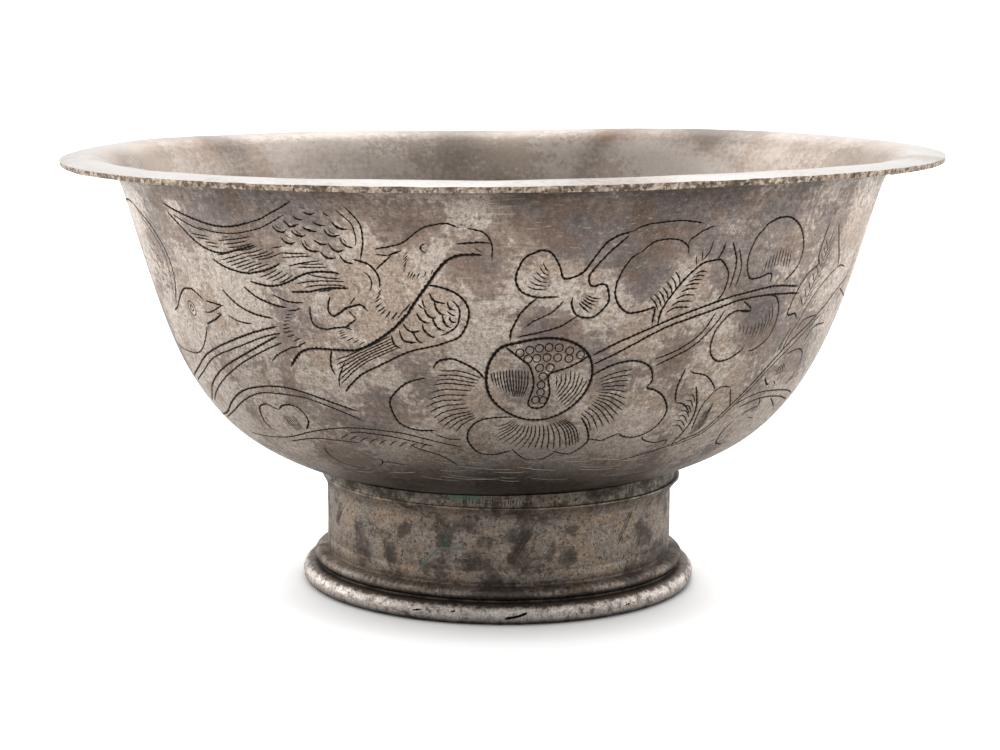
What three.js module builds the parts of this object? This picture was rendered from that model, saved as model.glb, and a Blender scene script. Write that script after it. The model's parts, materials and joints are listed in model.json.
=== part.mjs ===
// A raised silver bowl on a foot. The bowl is hammered from one sheet and has an everted lip. It is
// soldered to a tall foot collar, whose flared top carries it, and the collar stands on a heavy base
// ring with a bead wire laid around the joint.
// Millimetres, +Z up. The origin is the middle of the face that the base ring rests on.
import * as THREE from 'three';

// Base ring: the thick ring that rests on the table
const baseRingHeight = 3.5;
const baseRingReach = 4.5;
const baseRingLedge = 0.65;
const baseRingWidestHeight = 1.6;
const baseRingRestInset = 1.3;
const baseRingTopInset = 1.75;

// Foot collar: the upright band of the foot, flared outwards at its top
const footHeight = 20.2;
const collarRadius = 32.15;
const collarSheet = 0.9;
const flangeReach = 1.3;
const flangeEdge = 0.7;
const flangeFlareHeight = 2.0;
const flangeInnerFlare = 0.9;

// Bead wire: the half-round moulding around the collar's foot
const beadReach = 2.35;
const beadHeight = 2.05;
const beadBackWidth = 0.9;

// Solder seams
const beadSeamThickness = 0.3;
const beadSeamInset = 0.45;
const baseSeamHeight = 1.1;
const baseSeamWidth = 0.5;
const bowlSeamHeight = 2.3;
const bowlSeamSetback = 0.35;
const seamClearance = 0.05;

// Bowl: a shallow dish in the middle, a full belly, a leaning wall and an everted lip
const bowlSheet = 0.9;
const dishRadius = 34.0;
const dishSlope = 16.5;
const bellyReach = 24.0;
const wallHeight = 49.9;
const wallReach = 27.4;
const wallLean = 73.6;
const throatRadius = 68.5;
const throatReach = 5.0;
const lipRadius = 80.0;
const lipRise = 6.0;
const lipFlatReach = 9.0;
const lipDroop = 12.0;

// Facets
const facetsAround = 64;
const dishSteps = 4;
const bellySteps = 12;
const lipSteps = 7;
const mouldingSteps = 3;

const collarInnerRadius = collarRadius - collarSheet;
const flangeRadius = collarRadius + flangeReach;
const beadFloor = baseRingHeight + beadSeamThickness;
const beadBackRadius = collarRadius + seamClearance;

// A point at a distance from another one, in a direction given in degrees above the horizontal.
function pointAlong(start, degrees, distance) {
  const angle = THREE.MathUtils.degToRad(degrees);
  return new THREE.Vector2(start.x + distance * Math.cos(angle), start.y + distance * Math.sin(angle));
}

// The curve of the bowl's outer face, from the axis out to the lip's lower edge, at a given height
// of the place where the dish turns into the belly.
function bowlOuterCurves(seatHeight) {
  const dishRound = dishRadius / Math.sin(THREE.MathUtils.degToRad(dishSlope));
  const dishCentreHeight = seatHeight + dishRound * Math.cos(THREE.MathUtils.degToRad(dishSlope));
  const seat = new THREE.Vector2(dishRadius, seatHeight);
  const throat = new THREE.Vector2(throatRadius, seatHeight + wallHeight);
  const lipEdgeLean = bowlSheet * Math.sin(THREE.MathUtils.degToRad(lipDroop));
  const lipEdge = new THREE.Vector2(lipRadius - lipEdgeLean, throat.y + lipRise);
  const straightDown = -Math.PI / 2;
  const dishEnd = straightDown + THREE.MathUtils.degToRad(dishSlope);
  return [
    [new THREE.EllipseCurve(0, dishCentreHeight, dishRound, dishRound, straightDown, dishEnd), dishSteps],
    [
      new THREE.CubicBezierCurve(
        seat, pointAlong(seat, dishSlope, bellyReach), pointAlong(throat, wallLean, -wallReach), throat),
      bellySteps,
    ],
    [
      new THREE.CubicBezierCurve(
        throat, pointAlong(throat, wallLean, throatReach),
        pointAlong(lipEdge, -lipDroop, -lipFlatReach), lipEdge),
      lipSteps,
    ],
  ];
}

// Points along the bowl's outer face with the matching points of its inner face, one sheet inwards.
function bowlFaces(seatHeight) {
  const outer = [];
  const inner = [];
  for (const [curve, steps] of bowlOuterCurves(seatHeight)) {
    for (let step = outer.length ? 1 : 0; step <= steps; step += 1) {
      const point = curve.getPoint(step / steps);
      const tangent = curve.getTangent(step / steps);
      outer.push(point);
      inner.push(new THREE.Vector2(point.x - tangent.y * bowlSheet, point.y + tangent.x * bowlSheet));
    }
  }
  outer[0].x = 0;
  inner[0].x = 0;
  return { outer, inner };
}

// Height of a bowl's outer face at a radius, read along its points.
function heightAt(points, radius) {
  const next = points.findIndex((point) => point.x >= radius);
  const above = points[next];
  const below = points[next - 1];
  const share = (radius - below.x) / (above.x - below.x);
  return below.y + share * (above.y - below.y);
}

// The bowl is lowered until its underside meets the solder at the flange's edge.
const bowlSeamOuterRadius = flangeRadius - bowlSeamSetback;
const bowlSeamInnerRadius = collarInnerRadius + flangeInnerFlare;
const unplacedOuter = bowlFaces(0).outer;
const seatHeight = footHeight + bowlSeamHeight - heightAt(unplacedOuter, bowlSeamOuterRadius);
const bowl = bowlFaces(seatHeight);

function bowlBodyProfile() {
  return [...bowl.outer, ...bowl.inner.reverse()];
}

function bowlSeamProfile() {
  const between = bowl.outer.filter(
    (point) => point.x > bowlSeamInnerRadius && point.x < bowlSeamOuterRadius);
  const top = [bowlSeamOuterRadius, ...between.map((point) => point.x).reverse(), bowlSeamInnerRadius];
  return [
    new THREE.Vector2(bowlSeamInnerRadius, footHeight),
    new THREE.Vector2(bowlSeamOuterRadius, footHeight),
    ...top.map((radius) => new THREE.Vector2(radius, heightAt(bowl.outer, radius) - seamClearance)),
    new THREE.Vector2(bowlSeamInnerRadius, footHeight),
  ];
}

function collarProfile() {
  const flangeUnderside = footHeight - flangeEdge;
  const edgeRound = flangeEdge / 2;
  const outline = new THREE.Path();
  outline.moveTo(collarInnerRadius, baseRingHeight);
  outline.lineTo(collarRadius, baseRingHeight);
  outline.lineTo(collarRadius, footHeight - flangeFlareHeight);
  outline.quadraticCurveTo(collarRadius, flangeUnderside, flangeRadius - edgeRound, flangeUnderside);
  outline.absarc(
    flangeRadius - edgeRound, footHeight - edgeRound, edgeRound, -Math.PI / 2, Math.PI / 2, false);
  outline.lineTo(collarInnerRadius + flangeInnerFlare, footHeight);
  outline.quadraticCurveTo(
    collarInnerRadius, footHeight, collarInnerRadius, footHeight - flangeFlareHeight);
  outline.closePath();
  return outline.getPoints(mouldingSteps);
}

function beadWireProfile() {
  const outline = new THREE.Path();
  const shoulderRadius = beadBackRadius + beadBackWidth;
  const bulge = collarRadius + beadReach - shoulderRadius;
  outline.moveTo(beadBackRadius, beadFloor);
  outline.lineTo(shoulderRadius, beadFloor);
  outline.absellipse(
    shoulderRadius, beadFloor + beadHeight / 2, bulge, beadHeight / 2, -Math.PI / 2, Math.PI / 2, false);
  outline.lineTo(beadBackRadius, beadFloor + beadHeight);
  outline.closePath();
  return outline.getPoints(mouldingSteps);
}

function beadSeamProfile() {
  const outerRadius = collarRadius + beadReach - beadSeamInset;
  return [
    new THREE.Vector2(beadBackRadius, baseRingHeight),
    new THREE.Vector2(outerRadius, baseRingHeight),
    new THREE.Vector2(outerRadius, beadFloor),
    new THREE.Vector2(beadBackRadius, beadFloor),
    new THREE.Vector2(beadBackRadius, baseRingHeight),
  ];
}

function baseSeamProfile() {
  const backRadius = collarInnerRadius - seamClearance;
  return [
    new THREE.Vector2(backRadius - baseSeamWidth, baseRingHeight),
    new THREE.Vector2(backRadius, baseRingHeight),
    new THREE.Vector2(backRadius, baseRingHeight + baseSeamHeight),
    new THREE.Vector2(backRadius - baseSeamWidth, baseRingHeight),
  ];
}

function baseRingProfile() {
  const widestRadius = collarRadius + baseRingReach;
  const innerRadius = collarInnerRadius - baseRingLedge;
  const restRadius = widestRadius - baseRingRestInset;
  const topRadius = widestRadius - baseRingTopInset;
  const upperHeight = baseRingHeight - baseRingWidestHeight;
  const outline = new THREE.Path();
  outline.moveTo(innerRadius, 0);
  outline.lineTo(restRadius, 0);
  outline.absellipse(
    restRadius, baseRingWidestHeight, baseRingRestInset, baseRingWidestHeight, -Math.PI / 2, 0, false);
  outline.absellipse(
    topRadius, baseRingWidestHeight, baseRingTopInset, upperHeight, 0, Math.PI / 2, false);
  outline.lineTo(innerRadius, baseRingHeight);
  outline.closePath();
  return outline.getPoints(mouldingSteps);
}

function silver(color, roughness) {
  return new THREE.MeshStandardMaterial({ color, roughness, metalness: 1 });
}

// A round piece, turned around the upright axis from its outline of radius and height.
function turned(name, profile, material) {
  const geometry = new THREE.LatheGeometry(profile, facetsAround);
  geometry.rotateX(Math.PI / 2);
  const mesh = new THREE.Mesh(geometry, material);
  mesh.name = name;
  return mesh;
}

const tarnishedSilver = silver(0x968c84, 0.45);
const rubbedSilver = silver(0xb8aba2, 0.4);
const darkSilver = silver(0x5e564f, 0.55);
const solder = silver(0x6f675d, 0.6);

const footedBowl = new THREE.Group();
footedBowl.add(
  turned('bowl_body', bowlBodyProfile(), tarnishedSilver),
  turned('bowl_solder_seam', bowlSeamProfile(), solder),
  turned('foot_collar', collarProfile(), tarnishedSilver),
  turned('bead_wire', beadWireProfile(), darkSilver),
  turned('bead_solder_seam', beadSeamProfile(), solder),
  turned('base_solder_seam', baseSeamProfile(), solder),
  turned('base_ring', baseRingProfile(), rubbedSilver),
);

export default footedBowl;
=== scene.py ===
import json
import math
import random

import bpy
from mathutils import Matrix, Vector
from mathutils.geometry import interpolate_bezier

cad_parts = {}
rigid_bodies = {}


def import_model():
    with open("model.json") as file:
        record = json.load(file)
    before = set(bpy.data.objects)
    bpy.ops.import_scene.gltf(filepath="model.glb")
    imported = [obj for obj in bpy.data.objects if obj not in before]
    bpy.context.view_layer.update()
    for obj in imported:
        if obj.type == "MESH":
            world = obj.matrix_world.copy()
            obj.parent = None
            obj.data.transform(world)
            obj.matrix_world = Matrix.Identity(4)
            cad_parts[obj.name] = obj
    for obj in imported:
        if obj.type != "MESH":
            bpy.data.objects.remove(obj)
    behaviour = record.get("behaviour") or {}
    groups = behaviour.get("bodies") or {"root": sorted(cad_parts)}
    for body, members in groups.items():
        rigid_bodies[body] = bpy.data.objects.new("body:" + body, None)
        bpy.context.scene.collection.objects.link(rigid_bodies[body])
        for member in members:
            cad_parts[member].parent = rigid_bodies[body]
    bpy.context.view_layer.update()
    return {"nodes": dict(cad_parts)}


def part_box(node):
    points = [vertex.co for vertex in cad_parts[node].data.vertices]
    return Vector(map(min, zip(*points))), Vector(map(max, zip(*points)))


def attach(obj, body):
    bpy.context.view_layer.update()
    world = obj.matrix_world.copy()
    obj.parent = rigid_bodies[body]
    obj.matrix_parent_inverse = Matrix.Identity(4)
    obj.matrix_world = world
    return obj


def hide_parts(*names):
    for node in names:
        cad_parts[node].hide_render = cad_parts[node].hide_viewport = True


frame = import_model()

# The view and the light
# The bowl stands on a white table in a light tent that is open towards the camera, so the light is
# soft and comes from both sides, from above and behind. The camera looks slightly down into the bowl.
MM = 0.001
DEGREE = math.radians(1.0)
UP = Vector((0, 0, 1))

camera_distance = 412.5 * MM
camera_height = 107.4 * MM
camera_pitch = 9.546 * DEGREE
camera_roll = 0.57 * DEGREE
camera_lens = 80.6
table_size = 8.0
table_drop = 0.02 * MM
table_white = 0.8
table_glow = 0.6
bounce_near = 0.62
bounce_near_reach = 90 * MM
bounce_far_reach = 300 * MM
shadow_reach = 26 * MM
shadow_deepest = 0.4
shadow_end_in_front = 0.97
shadow_end_behind = 0.7
shadow_front = -1.0
shadow_back = -0.2
room_white = 1.1
room_opening = 0.46
room_opening_end = -0.95
lamp_size = 1.2
bowl_middle = (0, 0, 0.05)
inside_far_wall = (0, 0.6, 0)

level = Matrix.Rotation(math.pi / 2 - camera_pitch, 4, "X")
aim = level @ Matrix.Rotation(camera_roll, 4, "Z")
bpy.ops.object.camera_add(location=(0, -camera_distance, camera_height), rotation=aim.to_euler())
camera = bpy.context.object
camera.data.lens = camera_lens
bpy.context.scene.camera = camera
bpy.context.scene.view_settings.view_transform = "Standard"


def make_node(material, kind, inputs=None, **settings):
    """Adds a shader node. Its inputs are given as values or as the sockets that feed them."""
    tree = material.node_tree
    made = tree.nodes.new(kind)
    for setting, value in settings.items():
        setattr(made, setting, value)
    for socket, value in (inputs or {}).items():
        if isinstance(value, bpy.types.NodeSocket):
            tree.links.new(value, made.inputs[socket])
        else:
            made.inputs[socket].default_value = value
    return made


def map_range(material, value, low=0.0, high=1.0, to_low=0.0, to_high=1.0):
    """Runs from one level to another while a value runs from low to high."""
    return make_node(material, "ShaderNodeMapRange", {
        "Value": value, "From Min": low, "From Max": high, "To Min": to_low, "To Max": to_high}).outputs[0]


def math_node(material, operation, *values):
    return make_node(material, "ShaderNodeMath", dict(enumerate(values)), operation=operation).outputs[0]


def vector_node(material, operation, output, *values):
    made = make_node(material, "ShaderNodeVectorMath", dict(enumerate(values)), operation=operation)
    return made.outputs[output]


def empty_material(name):
    material = bpy.data.materials.new(name)
    material.use_nodes = True
    material.node_tree.nodes.clear()
    return material


def white_table():
    """The camera sees the table pure white, with a painted shadow: ambient occlusion takes its glow away
    near the foot, further towards the camera than to the sides. Other rays see the table painted darker
    near the bowl, as painted shade.
    """
    material = empty_material("white_table")
    seen = make_node(material, "ShaderNodeLightPath").outputs["Is Camera Ray"]
    place = make_node(material, "ShaderNodeTexCoord").outputs["Object"]
    away = vector_node(material, "LENGTH", "Value", place)
    parts = make_node(material, "ShaderNodeSeparateXYZ", {0: place})
    forward = math_node(material, "DIVIDE", parts.outputs["Y"], away)
    # Painted shadow: near the foot the glow the camera sees is cut by ambient occlusion, further in front
    # than behind.
    shadow_end = map_range(
        material, forward, shadow_front, shadow_back, shadow_end_in_front, shadow_end_behind)
    opening = make_node(material, "ShaderNodeAmbientOcclusion", {"Distance": shadow_reach}, samples=8)
    unshaded = map_range(material, opening.outputs["AO"], shadow_deepest, shadow_end, 0, table_glow)
    glow_seen = math_node(material, "MULTIPLY", seen, unshaded)
    # Painted shade: for the rays the bowl reflects, the table is painted darker near the bowl.
    bounce = map_range(material, away, bounce_near_reach, bounce_far_reach, bounce_near, 1)
    tone = map_range(material, seen, 0, 1, bounce, table_white)
    paint = make_node(material, "ShaderNodeBsdfDiffuse", {"Color": tone})
    glow = make_node(material, "ShaderNodeEmission", {"Strength": glow_seen})
    both = make_node(material, "ShaderNodeAddShader", {0: paint.outputs[0], 1: glow.outputs[0]})
    make_node(material, "ShaderNodeOutputMaterial", {"Surface": both.outputs[0]})
    return material


bpy.ops.mesh.primitive_plane_add(size=table_size, location=(0, 0, -table_drop))
table = bpy.context.object
table.name = "table_top"
table.data.materials.append(white_table())


def light_room():
    room = bpy.data.worlds.new("light_room")
    room.use_nodes = True
    room.node_tree.nodes.clear()
    seen = make_node(room, "ShaderNodeLightPath").outputs["Is Camera Ray"]
    direction = make_node(room, "ShaderNodeTexCoord").outputs["Generated"]
    parts = make_node(room, "ShaderNodeSeparateXYZ", {0: direction})
    tent = map_range(room, parts.outputs["Y"], room_opening_end, 0, room_opening, room_white)
    strength = map_range(room, seen, 0, 1, tent, room_white)
    sky = make_node(room, "ShaderNodeBackground", {"Color": (1, 1, 1, 1), "Strength": strength})
    make_node(room, "ShaderNodeOutputWorld", {"Surface": sky.outputs[0]})
    return room


bpy.context.scene.world = light_room()


def soft_lamp(name, place, target, power):
    bpy.ops.object.light_add(type="AREA", location=place)
    lamp = bpy.context.object
    lamp.name = name
    lamp.data.shape = "DISK"
    lamp.data.size = lamp_size
    lamp.data.energy = power
    lamp.rotation_euler = (Vector(target) - Vector(place)).to_track_quat("-Z", "Y").to_euler()


soft_lamp("lamp_left", (-1.0, 0.4, 0.55), bowl_middle, 4.6)
soft_lamp("lamp_right", (1.0, 0.5, 0.55), bowl_middle, 2.6)
soft_lamp("lamp_behind", (0.0, 1.0, 1.0), inside_far_wall, 5.5)

# The bowl
# It is hammered up from one sheet of silver, with a shallow dish in the middle, a full belly and an everted
# lip. Silver of this age is under a warm grey tarnish; below the lip and under the belly the outside is
# painted darker, as painted shade.
bowl_low, bowl_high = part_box("bowl_body")
bowl_sheet = 0.9 * MM
dish_radius = 34.0 * MM
dish_slope = 16.5 * DEGREE
dish_steps = 8
belly_reach = 24.0 * MM
belly_points = 48
wall_height = 49.9 * MM
wall_reach = 27.4 * MM
wall_lean = 73.6 * DEGREE
throat_radius = 68.5 * MM
throat_reach = 5.0 * MM
lip_radius = bowl_high.x
lip_rise = 6.0 * MM
lip_flat_reach = 9.0 * MM
lip_droop = 12.0 * DEGREE
lip_points = 13
lip_bends = ((185, 26, -0.95), (250, 14, 0.35), (33, 28, 0.5), (-12, 30, 0.2))
lip_bend_below_throat = 4 * MM
lip_bend_height = 11 * MM
bowl_slope = 0.0147
bowl_turns = 300
weld_distance = 0.002 * MM
hammer_mark_size = 16 * MM
hammer_mark_depth = 0.3 * MM
rough_edge_width = 0.9 * MM
edge_roughness = 0.08 * MM
edge_seed = 4
dish_round = dish_radius / math.sin(dish_slope)
seat_height = bowl_low.z + dish_round * (1 - math.cos(dish_slope))


def uneven(place):
    """The bowl was raised by eye: it is higher on its right, and its lip is bent here and there.
    Each bend is an angle around the bowl, how far it reaches in degrees and how far it rises."""
    rise = bowl_slope * place.x
    angle = math.atan2(place.x, -place.y) / DEGREE
    lip_share = min(max((place.z - throat.y + lip_bend_below_throat) / lip_bend_height, 0), 1)
    for azimuth, width, height in lip_bends:
        away = (angle - azimuth + 180) % 360 - 180
        rise += lip_share ** 2 * height * MM * math.exp(-(away / width) ** 2)
    return place + UP * rise


def heading(angle):
    return Vector((math.cos(angle), math.sin(angle)))


def arc(centre, reach, start, end, steps):
    """Points of radius and height along part of a circle or an ellipse."""
    angles = [start + (end - start) * step / steps for step in range(steps + 1)]
    return [Vector((centre[0] + reach[0] * math.cos(angle), centre[1] + reach[1] * math.sin(angle)))
            for angle in angles]


def curve(start, start_reach, end_reach, end, count):
    """Points along a curve, given by its ends and how far it leaves them in which way."""
    return [point.xy for point in interpolate_bezier(
        start, start + start_reach, end + end_reach, end, count)]


seat = Vector((dish_radius, seat_height))
throat = Vector((throat_radius, seat_height + wall_height))
lip_edge = Vector((lip_radius - bowl_sheet * math.sin(lip_droop), throat.y + lip_rise))
dish_curve = arc((0, bowl_low.z + dish_round), (dish_round, dish_round),
                 -math.pi / 2, -math.pi / 2 + dish_slope, dish_steps)
belly_curve = curve(
    seat, heading(dish_slope) * belly_reach, -heading(wall_lean) * wall_reach, throat, belly_points)
lip_curve = curve(
    throat, heading(wall_lean) * throat_reach, -heading(-lip_droop) * lip_flat_reach, lip_edge, lip_points)


def one_sheet_inside(points, sheet):
    """The line that runs a sheet's thickness inside another one."""
    inside = []
    for number, point in enumerate(points):
        before = points[max(number - 1, 0)]
        after = points[min(number + 1, len(points) - 1)]
        along = (after - before).normalized()
        inside.append(point + Vector((-along.y, along.x)) * sheet)
    inside[0].x = 0
    return inside


def choose(piece):
    """Selects one piece alone and makes it the active one."""
    bpy.ops.object.select_all(action="DESELECT")
    piece.select_set(True)
    bpy.context.view_layer.objects.active = piece


def turned(name, points, turns):
    """Draws a piece's outline of radius and height from point to point, and spins it round upright."""
    bpy.ops.object.select_all(action="DESELECT")
    bpy.ops.mesh.primitive_plane_add(size=MM)
    piece = bpy.context.object
    piece.name = name
    bpy.ops.object.mode_set(mode="EDIT")
    bpy.ops.mesh.merge(type="CENTER")
    bpy.ops.transform.translate(value=(points[0].x, 0, points[0].y))
    for before, after in zip(points, points[1:]):
        step = after - before
        bpy.ops.mesh.extrude_region_move(TRANSFORM_OT_translate={"value": (step.x, 0, step.y)})
    bpy.ops.mesh.select_all(action="SELECT")
    bpy.ops.mesh.spin(steps=turns, angle=2 * math.pi, center=(0, 0, 0), axis=UP)
    bpy.ops.mesh.select_all(action="SELECT")
    bpy.ops.mesh.remove_doubles(threshold=weld_distance)
    bpy.ops.mesh.normals_make_consistent(inside=False)
    bpy.ops.object.mode_set(mode="OBJECT")
    return piece


def pick(piece, wanted):
    """Selects the points that a test picks by their place, and opens edit mode on them."""
    choose(piece)
    bpy.ops.object.mode_set(mode="EDIT")
    bpy.ops.mesh.select_mode(type="VERT")
    bpy.ops.mesh.select_all(action="DESELECT")
    bpy.ops.object.mode_set(mode="OBJECT")
    for vertex in piece.data.vertices:
        vertex.select = wanted(vertex.co)
    bpy.ops.object.mode_set(mode="EDIT")


def apply_modifier(piece, kind, **settings):
    choose(piece)
    modifier = piece.modifiers.new(kind.lower(), kind)
    for setting, value in settings.items():
        setattr(modifier, setting, value)
    bpy.ops.object.modifier_apply(modifier=modifier.name)


def waved(piece, name, size, detail, depth, middle=0.5):
    """Pushes a surface in and out by a cloudy pattern, as the hammer or wear leaves it."""
    pattern = bpy.data.textures.new(name, "CLOUDS")
    pattern.noise_scale = size
    pattern.noise_depth = detail
    apply_modifier(piece, "DISPLACE", texture=pattern, strength=depth, mid_level=middle)


def distance_out(place):
    """How far a place lies from the upright axis."""
    return Vector(place.xy).length


def near_lip(place):
    return distance_out(place) > lip_radius - rough_edge_width


outer_face = dish_curve + belly_curve[1:] + lip_curve[1:]
inner_face = one_sheet_inside(outer_face, bowl_sheet)
belly_end = len(dish_curve) + len(belly_curve)
inner_face = inner_face[:belly_end:2] + inner_face[belly_end:]
bowl = turned("engraved_bowl", outer_face + inner_face[::-1], bowl_turns)
waved(bowl, "hammer_marks", hammer_mark_size, 1, hammer_mark_depth)
pick(bowl, near_lip)
bpy.ops.transform.vertex_random(offset=edge_roughness, seed=edge_seed)
bpy.ops.object.mode_set(mode="OBJECT")
for vertex in bowl.data.vertices:
    vertex.co = uneven(vertex.co)

# The bowl's engraving
# Birds, a pomegranate flower, leaves and double-lined stems run around the wall. Each line is a
# groove that a graver has cut in short pushes, so its width swells and narrows along the way.
BROAD = 0.64
BOLD = 0.46
PLAIN = 0.36
FINE = 0.28
degree_width = 1.187
drawn_too_low = 0.15
drawn_leaning = 0.25
hand = random.Random(11)
wall_line = lip_curve[:0:-1] + belly_curve[:0:-1] + [seat]
wall_runs = [0.0]
for upper, lower in zip(wall_line, wall_line[1:]):
    wall_runs.append(wall_runs[-1] + (lower - upper).length)
throat_run = wall_runs[len(lip_curve) - 1]
wall_runs = [run - throat_run for run in wall_runs]


def around_at(azimuth):
    """The level way out from the axis at an angle around the bowl, from the front to the right."""
    return Vector((math.sin(azimuth * DEGREE), -math.cos(azimuth * DEGREE), 0))


def wall_spot(azimuth, run):
    """The place on the wall, and the way out of it, for a point of the engraving. A point is its angle
    around the bowl in degrees, from the front to the right, and its distance down the wall in
    millimetres, from the narrowest place under the lip."""
    run = (run - drawn_too_low + drawn_leaning * math.sin(azimuth * DEGREE)) * MM
    number = next((n for n, end in enumerate(wall_runs) if end > run), len(wall_runs) - 1)
    upper, lower = wall_line[number - 1], wall_line[number]
    share = (run - wall_runs[number - 1]) / (wall_runs[number] - wall_runs[number - 1])
    point = upper.lerp(lower, share)
    slope = (upper - lower).normalized()
    around = around_at(azimuth)
    outward = around * slope.y - UP * slope.x
    outward.x -= bowl_slope * outward.z
    return uneven(around * point.x + UP * point.y), outward.normalized()


def lines(width, *routes):
    return [(width, route, False) for route in routes]


def closed(width, *routes):
    return [(width, route, True) for route in routes]


def ring(width, azimuth, run, radius, sides=9):
    """A small circle, such as a seed or an eye."""
    turns = [2 * math.pi * side / sides for side in range(sides)]
    return closed(width, [(azimuth + radius * math.cos(turn) / degree_width,
                           run + radius * math.sin(turn)) for turn in turns])


def fan(width, count, *keys):
    """Lines spread evenly between a few lines that are given, each with the same number of points."""
    made = []
    for number in range(count):
        share = number / (count - 1) * (len(keys) - 1)
        first = min(int(share), len(keys) - 2)
        share -= first
        made.append([(a[0] + (b[0] - a[0]) * share, a[1] + (b[1] - a[1]) * share)
                     for a, b in zip(keys[first], keys[first + 1])])
    return lines(width, *made)


def scales(width, size, *spots):
    """Small feathers like fish scales: each is an open bow from its upper left end."""
    bow = [(0, 0), (0.55, 1.05), (1.4, 1.95), (2.3, 2.2), (3.1, 1.9)]
    return lines(width, *[[(azimuth + size * x, run + size * y) for x, y in bow] for azimuth, run in spots])


def moved(engraved, turn):
    """The same lines further around the bowl."""
    return [(width, [(azimuth + turn, run) for azimuth, run in route], is_closed)
            for width, route, is_closed in engraved]


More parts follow.
